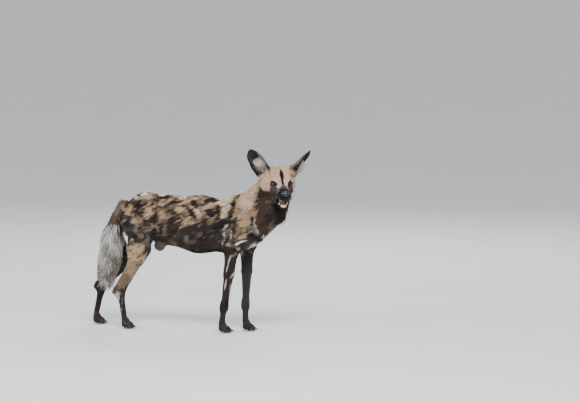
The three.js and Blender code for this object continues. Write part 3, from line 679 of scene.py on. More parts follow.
# %% Places on the side view and in the ears
SEEN_SIDE = np.array([0.341, -0.936, 0.087])
SIDE_TURN_COS, SIDE_TURN_SIN, SIDE_TILT_COS, SIDE_TILT_SIN = 0.9397, 0.3420, 0.9962, 0.0872
SIDE_UNIT, SIDE_ZERO_ACROSS, SIDE_ZERO_DOWN = 5, 193.5, 330
THIN_MARK, THIN_FRAY, WIDE_FRAY = 1.4, 0.15, 0.34
EAR_HALF_WIDTH = 45


def side_view(points):
    x, y, z = points.T
    over, back = SIDE_TURN_COS * x + SIDE_TURN_SIN * y, SIDE_TURN_COS * y - SIDE_TURN_SIN * x
    high = SIDE_TILT_COS * z + SIDE_TILT_SIN * back
    return SIDE_ZERO_ACROSS + over / SIDE_UNIT, SIDE_ZERO_DOWN - high / SIDE_UNIT


def draw_marks(colours, place, marks, where, ragged):
    across, down = place
    for u, v, long, wide, angle, tone in marks:
        turn = math.radians(angle)
        along = (across - u) * math.cos(turn) - (down - v) * math.sin(turn)
        over = (across - u) * math.sin(turn) + (down - v) * math.cos(turn)
        fray = WIDE_FRAY if wide > THIN_MARK else THIN_FRAY
        reach = np.hypot(along / (long * 1.08), over / (wide * 1.12)) + ragged * fray
        colours = stain(colours, where * (1 - blend(0.76, 1.2, reach)), tone)
    return colours


def ear_place(points, side):
    root, tip = np.array(EARS[side]["root"], float), np.array(EARS[side]["tip"], float)
    axis = (tip - root) / np.linalg.norm(tip - root)
    turn = math.radians(EARS[side]["facing"]) * (-1 if side == "right" else 1)
    facing = np.array([math.cos(turn), math.sin(turn), 0])
    facing -= axis * facing.dot(axis)
    facing /= np.linalg.norm(facing)
    offset = points - root
    up = offset @ axis / np.linalg.norm(tip - root)
    across = offset @ np.cross(axis, facing)
    half = EAR_HALF_WIDTH * np.sqrt(np.clip(1 - (np.clip(up, 0, 1) * 2 - 0.9) ** 2 / 1.25, 0.05, 1))
    return up, across / half, facing, axis


eye_across, eye_down = side_view(EYE_IN_TRUNK_FRAME[None])
print("the right eye lies", eye_across.round(1), "across and", eye_down.round(1), "down on the side view")

# %% [markdown]
# The trunk starts as tan hide, darker towards the belly, and dark strands run along the lie of its coat.
# The marks come over it. The side that no view of the animal shows gets the same marks mirrored and bent
# out of place by slow noise, so that the two flanks differ as they do in life.

# %% Colours of the trunk
def share_of(parts, *names):
    return np.isin(parts, [PART[name] for name in names]).astype(float)


def three_noises(points, size, seed):
    return np.stack([noise(points, size, seed + step) for step in range(3)], axis=1)


def paint_trunk(points, normals, parts, ragged, strands, slant):
    far_side = (points[:, 1] > 34) & (share_of(parts, *HEAD_NODES) == 0)
    warp = blend(34, 80, points[:, 1])[:, None] * far_side[:, None]
    mirrored = points + three_noises(points, 90, 3) * 42 * warp
    mirrored[:, 1] = np.where(far_side, -mirrored[:, 1], mirrored[:, 1])
    across, down = side_view(mirrored)
    place = (across + 2.0 * noise(points, 38, 11) + 1.0 * noise(points, 14, 12),
             down + 2.0 * noise(points, 38, 13) + 1.0 * noise(points, 14, 14))
    base = blend(-0.55, 0.6, 1.2 * noise(points, 24, 6) + 1.3 * strands - 0.12 - (down - 212) / 70)
    low = blend(214, 232, down)[:, None]
    hide = TONES["tan"] * (1 - low) + np.array(TONES["belly"]) * low
    colours = hide * base[:, None] + np.array(TONES["dark"]) * (1 - base[:, None])
    trunk = share_of(parts, "torso", "neck", *LEG_MARKS)
    colours = draw_marks(colours, place, RUMP_MARKS + FLANK_MARKS + SHOULDER_MARKS, trunk, ragged)
    hairy = trunk * (1 - 0.7 * share_of(parts, "neck"))
    colours = stain(colours, hairy * blend(0.0, 0.55, strands + 0.4 * noise(slant, 3.5, 16)) * 0.78, "dark")
    sideways = np.where(far_side, -normals[:, 1], normals[:, 1])
    facing = np.stack([normals[:, 0], sideways, normals[:, 2]], axis=1) @ SEEN_SIDE
    unseen = share_of(parts, "torso") * (1 - blend(-0.15, 0.2, facing))
    bent = points + three_noises(points, 26, 21) * 16
    patch, pale = noise(bent, 46, 7) + 0.3 * ragged, noise(bent, 40, 8) + 0.3 * ragged
    colours = stain(colours, unseen * blend(-0.1, 0.05, patch), "tan")
    colours = stain(colours, unseen * blend(0.34, 0.5, pale), "white")
    return stain(colours, unseen * blend(0.1, 0.24, -patch), "black")


print("the trunk takes", len(RUMP_MARKS + FLANK_MARKS + SHOULDER_MARKS), "marks on each side")

# %% [markdown]
# Below the trunk the tones are simpler: grey and white marks on black legs, dark paws, a dark grey pouch.
# The tail is brown at its root, then silver with long grey and white streaks, from noise stretched along it.

# %% Colours of the legs and the tail
POUCH = (-172, -9, 424)


def paint_legs_and_tail(colours, points, parts, ragged):
    for leg, marks in LEG_MARKS.items():
        colours = draw_marks(colours, side_view(points), marks, share_of(parts, leg), ragged)
    paws = share_of(parts, *(name for name in PART if "paw" in name))
    colours = stain(colours, paws, "dark")
    colours = stain(colours, paws * blend(0.1, 0.5, ragged) * 0.25, "umber")
    tail = share_of(parts, "tail")
    streaks = noise(points * [1, 1, 0.12], 9, 9)
    height = points[:, 2]
    for mask, tone in (
        (1, "silver"), (blend(0.0, 0.4, -streaks) * 0.4, "white"),
        (blend(0.05, 0.45, streaks) * 0.75, "grey"),
        (blend(512, 556, height + 16 * ragged + 20 * streaks), "brown"),
        (blend(572, 600, height + 10 * ragged), "umber"),
    ):
        colours = stain(colours, tail * mask, tone)
    near_pouch = 1 - blend(34, 52, np.linalg.norm(points - POUCH, axis=1))
    trunk = share_of(parts, "torso", "neck", *LEG_MARKS)
    return stain(colours, trunk * near_pouch * 0.85, "grey")


print("legs with marks:", ", ".join(LEG_MARKS))

# %% [markdown]
# The face is a warm tan under its black marks. Inside, each ear is black at the top and rim, with pale
# hair in its cup. The left ear shows its hairy outer edge, so its rim stays pale below the middle.

# %% Colours of the face and the ears
def paint_face(colours, points, parts, ragged, strands):
    head = in_head(points)
    on_head = share_of(parts, "head", "lower_jaw")
    colours = stain(colours, on_head, "face")
    colours = stain(colours, on_head * blend(0.1, 0.6, noise(points, 16, 10)) * 0.35, "sand")
    colours = stain(colours, on_head * blend(0.1, 0.7, strands) * 0.3, "umber")
    near_head = np.maximum(on_head, share_of(parts, "neck") * (head[:, 0] > -30))
    for centre, radii, tone, sides in HEAD_MARKS:
        for way in ((1, -1) if sides == 2 and centre[1] else (1,)):
            reach = np.linalg.norm((head - np.multiply(centre, (1, way, 1))) / radii, axis=1)
            colours = stain(colours, near_head * (1 - blend(0.8, 1.14, reach + 0.13 * ragged)), tone)
    return colours


def paint_ears(colours, points, normals, parts, ragged, fine):
    for side in EARS:
        ear = share_of(parts, "ear_" + side)
        up, over, opening, _ = ear_place(in_head(points), side)
        inside = blend(-0.1, 0.25, normals @ head_axes.T @ opening)
        rim = np.abs(over) + 0.06 * ragged
        hairy_edge = (side == "left") & (over > 0) & (up < 0.55)
        strip = blend(0.5, 0.64, over) * (1 - blend(0.86, 0.95, over)) * (1 - blend(0.66, 0.8, up))
        for mask, tone in (
            (1, "umber"), ((1 - inside) * blend(0.45, 0.75, up + 0.08 * ragged), "dark"), (inside, "dark"),
            (inside * (1 - blend(0.36, 0.5, up + 0.1 * fine)), "ash"),
            (inside * (1 - blend(0.1, 0.26, up)) * 0.7, "brown"),
            (inside * blend(0.5, 0.72, rim) * 0.8, "brown"),
            (blend(0.74, 0.9, rim) * (up > 0.12) * ~hairy_edge, "black"),
            (inside * blend(0.3, 0.5, rim) * hairy_edge, "ash"), (inside * strip * (side == "right"), "tan"),
            (1 - blend(0.02, 0.09, up), "sand"),
        ):
            colours = stain(colours, ear * mask, tone)
    return colours


def paint(points, normals, parts):
    slant = points @ np.array([[0.89, 0, 0.456], [0, 1, 0], [-0.456, 0, 0.89]]).T * [0.3, 1, 1]
    strands, fine = noise(slant, 7, 15), noise(points, 4, 2)
    ragged = noise(points, 11, 1) + 0.7 * strands
    colours = paint_trunk(points, normals, parts, ragged, strands, slant)
    colours = paint_legs_and_tail(colours, points, parts, ragged)
    colours = paint_face(colours, points, parts, ragged, strands)
    colours = paint_ears(colours, points, normals, parts, ragged, fine)
    return np.clip(colours * (1 + 0.14 * fine + 0.1 * ragged)[:, None], 0.004, 0.9)


def colour_piece(mesh, colours):
    layer = mesh.color_attributes.new("coat", "FLOAT_COLOR", "POINT")
    full = np.ones((len(colours), 4), np.float32)
    full[:, :3] = colours
    layer.data.foreach_set("color", full.ravel())


skin_mm = trunk_frame(places(skin.data))
skin_out = outward(skin.data)
skin.data.polygons.foreach_set("material_index", np.zeros(len(skin.data.polygons), np.int32))
skin_colours = paint(skin_mm, skin_out, skin_part)
colour_piece(skin.data, skin_colours)
print("mean tone of the skin:", skin_colours.mean(axis=0).round(3))

# %% [markdown]
# Hair, wet nose, eye, enamel and horn each answer light in their own way. One coloured plastic would look
# like a toy, so every finish is built from nodes: colour broken by noise, and bump and roughness from it.

# %% A finish and its grain
def finish(name, roughness, specular=0.5, **extra):
    material = bpy.data.materials.new(name)
    material.use_nodes = True
    shader = material.node_tree.nodes["Principled BSDF"]
    shader.inputs["Roughness"].default_value = roughness
    shader.inputs["Specular IOR Level"].default_value = specular
    for socket, value in extra.items():
        shader.inputs[socket.replace("_", " ")].default_value = value
    return material, material.node_tree.nodes, material.node_tree.links, shader


def grain(nodes, links, scale, detail=3.0, stretch=(1, 1, 1)):
    spots = nodes.new("ShaderNodeTexCoord")
    mapping = nodes.new("ShaderNodeMapping")
    mapping.inputs["Scale"].default_value = stretch
    texture = nodes.new("ShaderNodeTexNoise")
    texture.inputs["Scale"].default_value = scale
    texture.inputs["Detail"].default_value = detail
    links.new(spots.outputs["Object"], mapping.inputs["Vector"])
    links.new(mapping.outputs["Vector"], texture.inputs["Vector"])
    return texture.outputs["Fac"]


def spread(nodes, links, value, low, high):
    ramp = nodes.new("ShaderNodeMapRange")
    ramp.inputs["From Min"].default_value, ramp.inputs["From Max"].default_value = 0.3, 0.7
    ramp.inputs["To Min"].default_value, ramp.inputs["To Max"].default_value = low, high
    links.new(value, ramp.inputs["Value"])
    return ramp.outputs["Result"]


def add_bump(nodes, links, shader, value, strength, distance):
    bump = nodes.new("ShaderNodeBump")
    bump.inputs["Strength"].default_value = strength
    bump.inputs["Distance"].default_value = distance
    links.new(value, bump.inputs["Height"])
    links.new(bump.outputs["Normal"], shader.inputs["Normal"])


print(len(bpy.data.materials), "materials so far")

# %% [markdown]
# Hair takes its tone from the colours stored on each point. Grain stretched along the hair lightens and
# darkens it, roughens it and raises it. The skin's grain is coarser than the tufts', as it lies beneath.

# %% Hair
def hair_finish(name, scale, strength):
    material, nodes, links, shader = finish(
        name, 0.72, specular=0.1, Sheen_Weight=0.04, Sheen_Roughness=0.5)
    tone = nodes.new("ShaderNodeVertexColor")
    tone.layer_name = "coat"
    strands = grain(nodes, links, scale, 4.0, (0.35, 1, 1))
    shade = nodes.new("ShaderNodeVectorMath")
    shade.operation = "MULTIPLY"
    links.new(tone.outputs["Color"], shade.inputs[0])
    links.new(spread(nodes, links, strands, 0.72, 1.28), shade.inputs[1])
    links.new(shade.outputs["Vector"], shader.inputs["Base Color"])
    links.new(spread(nodes, links, strands, 0.62, 0.82), shader.inputs["Roughness"])
    add_bump(nodes, links, shader, strands, strength, 0.0012)
    return material


coat_finish = hair_finish("coat_hair", 700, 0.5)
skin_finish = hair_finish("skin_hair", 420, 0.9)
print("hair finishes:", coat_finish.name, "and", skin_finish.name)

# %% [markdown]
# Nose, teeth, claws and tongue are bare. Each goes between two tones with its own grain: pebbled on the
# nose and tongue, faint on enamel, ridged on horn.

# %% Nose, teeth, claws, tongue and floor
def plain_finish(name, colour, darker, roughness, scale, strength, depth, **extra):
    material, nodes, links, shader = finish(name, roughness, **extra)
    value = grain(nodes, links, scale)
    ramp = nodes.new("ShaderNodeValToRGB")
    ramp.color_ramp.elements[0].position, ramp.color_ramp.elements[1].position = 0.35, 0.65
    ramp.color_ramp.elements[0].color, ramp.color_ramp.elements[1].color = (*darker, 1), (*colour, 1)
    links.new(value, ramp.inputs["Fac"])
    links.new(ramp.outputs["Color"], shader.inputs["Base Color"])
    add_bump(nodes, links, shader, value, strength, depth)
    return material


nose_finish = plain_finish("wet_nose", (0.030, 0.032, 0.041), (0.008, 0.008, 0.011), 0.3, 520, 0.7, 0.0006)
tooth_finish = plain_finish("enamel", (0.78, 0.72, 0.60), (0.62, 0.52, 0.38), 0.22, 160, 0.1, 0.0002)
claw_finish = plain_finish("horn", (0.045, 0.036, 0.032), (0.012, 0.010, 0.010), 0.38, 300, 0.3, 0.0003)
tongue_finish = plain_finish("tongue", (0.52, 0.23, 0.23), (0.38, 0.13, 0.14), 0.34, 420, 0.8, 0.0006)
floor_finish = plain_finish("studio_paper", (0.80, 0.80, 0.79), (0.77, 0.77, 0.76), 0.9, 3, 0.02, 0.001)
floor.data.materials.append(floor_finish)
print(len(bpy.data.materials), "materials so far")

# %% [markdown]
# The eye's rings could be an image, but a ramp over the angle from the gaze draws pupil, brown iris and
# its dark rim sharply at any size. The whole ball is wet.

# %% Eye
def eye_finish():
    material, nodes, links, shader = finish("wet_eye", 0.06, specular=0.5)
    gaze = nodes.new("ShaderNodeAttribute")
    gaze.attribute_name = "from_gaze"
    ramp = nodes.new("ShaderNodeValToRGB")
    rings = ((0.0, (0.002, 0.002, 0.002)), (0.23, (0.003, 0.002, 0.002)), (0.27, (0.062, 0.026, 0.011)),
             (0.52, (0.032, 0.013, 0.007)), (0.6, (0.008, 0.004, 0.003)), (0.8, (0.05, 0.030, 0.024)))
    for position, colour in rings[1:-1]:
        ramp.color_ramp.elements.new(position)
    for element, (position, colour) in zip(ramp.color_ramp.elements, rings):
        element.position, element.color = position, (*colour, 1)
    links.new(gaze.outputs["Fac"], ramp.inputs["Fac"])
    links.new(ramp.outputs["Color"], shader.inputs["Base Color"])
    return material


wet_eye = eye_finish()
print(wet_eye.name, "ready")

# %% [markdown]
# The skin now takes its finish. It stands in for all the solids that it was made of, and rides on the one
# body that the animal has.

# %% Dress the skin
skin.data.materials.clear()
skin.data.materials.append(skin_finish)
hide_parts(*FLESH)
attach(skin, "root")
print("the skin replaces", len(FLESH), "solids")

# %% [markdown]
# An eye is a wet ball with a clear bulge in front. A dark dot on a ball would look blind, so the ball
# swells where it looks, and each point stores its angle from the gaze, from which the finish draws pupil,
# iris and rim. Both eyes look towards the viewer of the side view.

# %% Eyes
for side, centre in EYES.items():
    eyeball = ball(from_head(centre), EYE_RADIUS, segments=64)
    eyeball.name = "eyeball_" + side
    gaze = np.array([0.93, -0.16 if side == "right" else -0.04, 0.26])
    gaze /= np.linalg.norm(gaze)
    arms = in_head(trunk_frame(places(eyeball.data))) - centre
    arms /= np.linalg.norm(arms, axis=1)[:, None]
    angle = np.arccos(np.clip(arms @ gaze, -1, 1))
    swelled = 11.9 + 0.9 * (1 - blend(0.25, 0.75, angle))
    move(eyeball.data, metres(from_head(centre + arms * swelled[:, None])))
    layer = eyeball.data.attributes.new("from_gaze", "FLOAT", "POINT")
    layer.data.foreach_set("value", (angle / 1.3).astype(np.float32))
    eyeball.data.materials.append(wet_eye)
    shade_smooth(eyeball)
    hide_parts("eye_" + side)
    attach(eyeball, "root")
    print(eyeball.name, "looks along", gaze.round(2))

# %% [markdown]
# The nose is a moist pad with two comma-shaped nostrils and a groove between them. It could be carved
# with Booleans, but a soft form is pressed in more naturally, so a finely divided ball is flattened and
# its points are pushed in with smooth edges.

# %% Nose pad
NOSE = np.array([130.0, 0.0, -21.0])
nose = ball(from_head(NOSE), 20, segments=144)
nose.name = "nose_pad"
arms = (in_head(trunk_frame(places(nose.data))) - NOSE) * (0.855, 1.04, 0.75)
a, b, c = arms.T
pinch = 1 - 0.1 * blend(2, 12, -c)
shape = np.stack([a, b * pinch, c], axis=1)
for way in (1, -1):
    hole = np.hypot((shape[:, 1] - way * 8.5) / 4.6, (shape[:, 2] + 1.5) / 3.6)
    slit = np.hypot((shape[:, 1] - way * 14.5) / 5.5, (shape[:, 2] + 4.5) / 1.6)
    press = 8 * (1 - blend(0.5, 1.15, hole)) + 4 * (1 - blend(0.4, 1.2, slit))
    wing = 1.2 * np.exp(-((np.hypot(shape[:, 1] - way * 9, shape[:, 2] + 2) - 7.5) / 2) ** 2)
    shape[:, 0] += np.where(a > 2, wing - np.minimum(press, 9), 0)
shape[:, 0] -= np.where(a > 2, 1.4 * np.exp(-(b / 1.1) ** 2) * blend(3, -3, shape[:, 2]), 0)
move(nose.data, metres(from_head(NOSE + shape)))
nose.data.materials.append(nose_finish)
shade_smooth(nose)
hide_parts("nose")
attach(nose, "root")
print("nose pad", [round(value * 1000) for value in nose.dimensions], "mm")

# %% [markdown]
# Teeth, claws and whiskers are all tapering spikes on a bent line. Each could be a cone, but a cone can't
# curve, so one helper wraps rings round a line and closes both ends, and every kind is one joined mesh.

# %% A spike on a bent line
def spikes(name, lines, widths, sides=8, flat=1.0):
    steps = len(widths)
    points, faces = [], []
    for line in lines:
        line = np.array(line, float)
        middle = np.array([(1 - t) ** 2 * line[0] + 2 * t * (1 - t) * line[1] + t * t * line[2]
                           for t in np.linspace(0, 1, steps + 1)])
        ahead = np.gradient(middle, axis=0)
        ahead /= np.linalg.norm(ahead, axis=1)[:, None]
        across = np.cross(ahead, [0.31, 0.17, 0.93] if abs(ahead[0][2]) < 0.9 else [0.9, 0.2, 0.1])
        across /= np.linalg.norm(across, axis=1)[:, None]
        third = np.cross(across, ahead)
        start = len(points)
        for ring in range(steps):
            for side in range(sides):
                turn = 2 * math.pi * side / sides
                arm = across[ring] * math.cos(turn) + third[ring] * math.sin(turn) * flat
                points.append(middle[ring] + arm * widths[ring])
        points += [middle[0], middle[-1]]
        root, tip = start + steps * sides, start + steps * sides + 1
        for side in range(sides):
            after = (side + 1) % sides
            faces.append((root, start + after, start + side))
            faces.append((tip, start + (steps - 1) * sides + side, start + (steps - 1) * sides + after))
            for ring in range(steps - 1):
                low, high = start + ring * sides, start + (ring + 1) * sides
                faces.append((low + side, low + after, high + after))
                faces.append((low + side, high + after, high + side))
    return new_piece(name, metres(points), np.array(faces))


def new_piece(name, points, faces, smooth=True):
    mesh = bpy.data.meshes.new(name)
    mesh.vertices.add(len(points))
    mesh.vertices.foreach_set("co", np.asarray(points, np.float32).ravel())
    mesh.loops.add(faces.size)
    mesh.loops.foreach_set("vertex_index", faces.astype(np.int32).ravel())
    mesh.polygons.add(len(faces))
    mesh.polygons.foreach_set("loop_start", np.arange(0, faces.size, 3, dtype=np.int32))
    mesh.polygons.foreach_set("use_smooth", np.full(len(faces), smooth))
    mesh.update(calc_edges=True)
    piece = bpy.data.objects.new(name, mesh)
    bpy.context.collection.objects.link(piece)
    return piece


print("spikes are closed at both ends")

# %% [markdown]
# A wild dog has six small front teeth between two long canines in each jaw, and sharp cheek teeth behind.
# Modelled one by one they would differ by chance, so each row stands on an arc. The lower rows are placed
# in a closed mouth and then swing open with the jaw.

# %% Teeth
JAW_HINGE, JAW_OPENING = np.array([-30.0, 0, -40.0]), math.radians(11)


def swing_jaw(point):
    turn = JAW_OPENING
    a, b, c = np.array(point, float) - JAW_HINGE
    return JAW_HINGE + [a * math.cos(turn) + c * math.sin(turn), b, c * math.cos(turn) - a * math.sin(turn)]


def arch(centre, radius, way, length, canine, swing):
    lines = {"front": [], "canine": []}
    for index in range(TEETH_PER_ARCH):
        angle = -1.35 + 2.7 * index / (TEETH_PER_ARCH - 1)
        root = np.array(centre) + [math.cos(angle) * radius, math.sin(angle) * radius, -2 * way]
        kind = "canine" if index in (0, TEETH_PER_ARCH - 1) else "front"
        reach = (canine if kind == "canine" else length) + 2
        curl = np.array([2.5, 0, 0]) if kind == "canine" else np.array([1.0, 0, 0])
        line = [root, root + curl + [0, 0, way * reach * 0.55], root + [0, 0, way * reach]]
        lines[kind].append([from_head(swing_jaw(p) if swing else p) for p in line])
    return lines


TEETH_PER_ARCH, CHEEK_TEETH_PER_SIDE = 8, 3
teeth = []
for centre, radius, way, length, canine, swing in (
        ((96, 0, -70), 20, 1, 12.5, 21, True), ((98, 0, -50), 17, -1, 10, 20.5, False)):
    row = arch(centre, radius, way, length, canine, swing)
    teeth.append(spikes("front_teeth", row["front"], [4.2, 4.8, 4.7, 3.8], flat=0.8))
    teeth.append(spikes("canines", row["canine"], [4.3, 4.2, 3.5, 2.2]))
cheek = []
for way in (1, -1):
    for index in range(CHEEK_TEETH_PER_SIDE):
        root = np.array([86 - 16 * index, way * (22 + 2 * index), -72 + index])
        line = [root, root + [0, 0, 6], root + [0, 0, 12]]
        cheek.append([from_head(swing_jaw(point)) for point in line])
teeth.append(spikes("cheek_teeth", cheek, [5.2, 4.6, 2.6], flat=0.8))
teeth = joined("teeth", teeth)
teeth.data.materials.append(tooth_finish)
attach(teeth, "root")
print("teeth:", len(teeth.data.polygons), "faces")

# %% [markdown]
# Four blunt claws show on each foot, since a running dog can't draw them in. Each is a spike that leaves
# the toe level and bends to the ground, spread a little like the toes.

# %% Claws
PAWS = {"foreleg_right": (172, -59, 44), "foreleg_left": (254, 60, 44), "hind_right": (-350, -63, 46),
        "hind_left": (-560, 66, 46)}
claw_lines = []
for x, y, z in PAWS.values():
    for over, reach, out in ((-22, 30, -8), (-8.5, 45, -3), (8.5, 45, 3), (22, 30, 8)):
        middle = np.array([x + reach * 0.55, y + over, 0])
        end = np.array([x + reach, y + over + out * 0.5, 0])
        way = (end - middle) / np.linalg.norm(end - middle)
        root = np.array([end[0], end[1], 13.0]) - way * 2
        claw_lines.append([root, root + way * 15 + [0, 0, 2], root + way * 23 - [0, 0, 9]])
claws = spikes("claws", claw_lines, [4.4, 4.2, 3.6, 2.6, 1.4], flat=0.8)
claws.data.materials.append(claw_finish)
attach(claws, "root")
print(len(claw_lines), "claws")

# %% [markdown]
# Whiskers stand in rows on the upper lip and grow longer towards the cheek. They are thin, but still
# solid, so that they stay in the exported model.

# %% Whiskers
hair_lines = []
for way in (1, -1):
    for row in range(3):
        for index in range(5):
            root = np.array([122 - 8 * index, way * (24 + 2.4 * index), -30 - 7 * row])
            lie = np.array([-0.1 - 0.12 * index, way * 1.0, 0.16 - 0.22 * row])
            reach = 20 + 7 * index + 3 * row
            line = [root, root + lie * reach * 0.6 + [3, 0, 1], root + lie * reach - [6, 0, 5]]
            hair_lines.append(from_head(line))
whiskers = spikes("whiskers", hair_lines, [0.42, 0.34, 0.2], sides=3)
whiskers.data.materials.append(claw_finish)
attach(whiskers, "root")
print(len(hair_lines), "whiskers")

# %% [markdown]
# The tongue lies in the jaw, soft and grooved. The solid has the right outline, so a copy is remeshed
# finely, smoothed, and pressed in along its middle.

# %% Tongue
tongue = flesh_copy("tongue")
tongue.name = "tongue_flesh"
finish_with(tongue, "REMESH", mode="VOXEL", voxel_size=0.0014)
finish_with(tongue, "SMOOTH", factor=0.5, iterations=10)
points = in_head(trunk_frame(places(tongue.data)))
upper = outward(tongue.data) @ head_axes.T @ [0.2, 0, 1] > 0.3
points[:, 2] -= np.where(upper, 1.8 * np.exp(-(points[:, 1] / 2.2) ** 2), 0)
move(tongue.data, metres(from_head(points)))
tongue.data.materials.append(tongue_finish)
shade_smooth(tongue)
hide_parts("tongue")
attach(tongue, "root")
print("tongue", [round(value * 1000) for value in tongue.dimensions], "mm")

# %% [markdown]
# The coat lies back from the nose, down the legs and along the tail. Combing it by hand would take days,
# so each part of the skin gives the lie and length of its hair. Eyes, nose pad, mouth and soles stay bare.

# %% The lie and length of the coat
LEG_PARTS = [node for node in FLESH if "leg" in node]


def unit(vectors):
    return vectors / np.maximum(np.linalg.norm(vectors, axis=1), 1e-9)[:, None]


def lie_at(points, parts):
    name = np.array(FLESH)[parts]
    lie = np.tile([-1.0, 0.0, -0.38], (len(points), 1))
    lie[name == "neck"] = [-0.72, 0, -0.7]
    lie[name == "tail"] = [-0.22, -0.02, -1]
    for node in LEG_PARTS:
        lie[name == node] = [0.55, 0, -0.6] if "paw" in node else [-0.12, 0, -1]
    head = in_head(points)
    face_lie = unit(head - [150, 0, -26]) @ head_axes
    on_head = np.isin(name, ["head", "lower_jaw"])
    lie[on_head] = face_lie[on_head] + [0, 0, -0.25]
    for side in EARS:
        up, over, opening, axis = ear_place(head, side)
        ear = name == "ear_" + side
        fan = np.clip(over, 0, 1) * (1 - blend(0.3, 0.6, up)) * (1.3 if side == "left" else 0)
        lie[ear] = (axis + np.cross(axis, opening) * fan[:, None])[ear] @ head_axes
    return lie


def length_at(points, normals, parts):
    name = np.array(FLESH)[parts]
    head = in_head(points)
    length = np.full(len(points), 19.0)
    length[name == "neck"] = 25
    for node in LEG_PARTS:
        length[name == node] = 7 if "paw" in node else 11
    length[name == "torso"] += 8 * blend(0.2, -0.8, normals[name == "torso", 2])
    on_head = np.isin(name, ["head", "lower_jaw"])
    behind_cheek = blend(30, -20, head[:, 0]) * blend(20, -20, head[:, 2])
    face_length = 4 + 6 * blend(70, 10, head[:, 0]) + 16 * behind_cheek
    length[on_head] = face_length[on_head]
    for side in EARS:
        ear = name == "ear_" + side
        length[ear] = 7 - 5 * blend(0.7, 0.95, ear_place(head[ear], side)[0])
    length[name == "tail"] = 30
    return length


BARE_SOLE_HEIGHT, BARE_NOSE_RADIUS, BARE_LID = 4, 21.5, 1.3
MOUTH, MOUTH_RADII = [80, 0, -70], [46, 21, 17]


def is_bare(points):
    head = in_head(points)
    bare = np.linalg.norm(head - NOSE, axis=1) < BARE_NOSE_RADIUS
    bare |= np.linalg.norm((head - MOUTH) / MOUTH_RADII, axis=1) < 1
    for side, centre in EYES.items():
        arms = head - centre
        far = np.linalg.norm(arms, axis=1)
        openness, _ = almond(arms / np.maximum(far, 1e-6)[:, None], side)
        bare |= (far < 20) & (openness < BARE_LID)
    return bare | (points[:, 2] + shift[2] < BARE_SOLE_HEIGHT)


print("longest short coat", length_at(skin_mm, skin_out, skin_part).max().round(1), "mm")

# %% [markdown]
# The coat's finish is baked into a map later, so each tuft needs a place there. Unwrapping a million faces
# by projection would take minutes, so each part gets a strip of the map, along its axis and round it.

# %% Unwrap of the coat, part by part
AXES = {
    "torso": ((-380, 0, 590), (330, 0, 560)), "neck": ((300, 0, 600), (470, -24, 740)),
    "tail": ((-372, 0, 610), (-461, -12, 180)),
    "head": (from_head((-100, 0, 10)), from_head((150, 0, -30))),
    "lower_jaw": (from_head((-60, 0, -80)), from_head((130, 0, -96))),
}
for node in LEG_PARTS:
    low, high = (np.array(corner) * 1000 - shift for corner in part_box(node))
    middle = (low + high) / 2
    AXES[node] = ((middle[0], middle[1], high[2]), (middle[0], middle[1], low[2]))
for side in EARS:
    AXES["ear_" + side] = (from_head(EARS[side]["root"]), from_head(EARS[side]["tip"]))


def unwrap(points, parts):
    place = np.zeros((len(points), 2))
    shown = sorted(set(parts.tolist()))
    for column, part in enumerate(shown):
        here = parts == part
        start, end = (np.array(corner, float) for corner in AXES[FLESH[part]])
        axis = (end - start) / np.linalg.norm(end - start)
        side = np.cross(axis, [0.13, 0.96, 0.21])
        side /= np.linalg.norm(side)
        arms = points[here] - start
        along = np.clip(arms @ axis / np.linalg.norm(end - start) * 0.8 + 0.1, 0.01, 0.99)
        turn = np.arctan2(arms @ np.cross(axis, side), arms @ side) / (2 * math.pi) + 0.5
        place[here] = np.stack([(column + along) / len(shown), 0.01 + 0.98 * turn], axis=1)
    return place


print("unwrap axes for", len(AXES), "parts")

# %% [markdown]
# Particle hair would be quick, but it is lost on export, so every tuft is a small solid: a sliver of four
# faces where the coat is short, and a bent blade of three sides where it is long.

# %% Sliver and blade
def sliver(seat, out, lie, across, half, long, raised, droop):
    tip = seat + lie * long + out * (long * raised + 0.3)
    back = seat + out * (0.8 + half * 0.35)
    points = np.stack([seat - across * half, seat + across * half, back, tip], axis=1)
    return points, [(0, 2, 1), (0, 1, 3), (1, 2, 3), (2, 0, 3)], [0.8, 0.8, 0.95, 1.15]


def blade(seat, out, lie, across, half, long, raised, droop):
    points = []
    for share, bend, size in ((0, 0, 0.8), (0.4, 0.55, 1.0), (0.75, 0.9, 0.7)):
        centre = seat + lie * long * share + out * long * raised * bend
        points += [centre - across * half * size, centre + across * half * size]
        points += [centre + out * half * size * 0.7]
    points += [seat + lie * long + out * long * raised * (0.95 - droop)]
    faces = [(0, 2, 1)]
    for ring in (0, 3):
        for one, two in ((0, 1), (1, 2), (2, 0)):
            faces += [(ring + one, ring + two, ring + 3 + two), (ring + one, ring + 3 + two, ring + 3 + one)]
    faces += [(6, 7, 9), (7, 8, 9), (8, 6, 9)]
    return np.stack(points, axis=1), faces, [0.75] * 3 + [0.95] * 3 + [1.08] * 3 + [1.15]


print("a sliver has 4 faces, a blade 16")

# %% [markdown]
# Each tuft grows at a random spot of its part's skin, follows the lie there and takes the tone of its root,
# a little lighter to the tip. Fixed seeds give the same coat each time. Tips that would leave the solids'
# box are held inside it.

# %% Grow a coat
TUFTS = 1.0
LENGTH_SPREAD, WIDTH_SPREAD, RISE_SPREAD, TONE_SPREAD = (0.72, 1.2), (0.7, 1.25), (0.5, 1.5), (0.78, 1.2)
SEAT_DEPTH, PATCH_RADIUS, BOX_MARGIN = 0.7, 0.0015, 0.2
room_low = trunk_frame(solid_box[0]) + BOX_MARGIN
room_high = trunk_frame(solid_box[1]) - BOX_MARGIN
skin_corners = triangles(skin.data)
corner_part = skin_part[skin_corners[:, 0]]
coat_triangles = 0


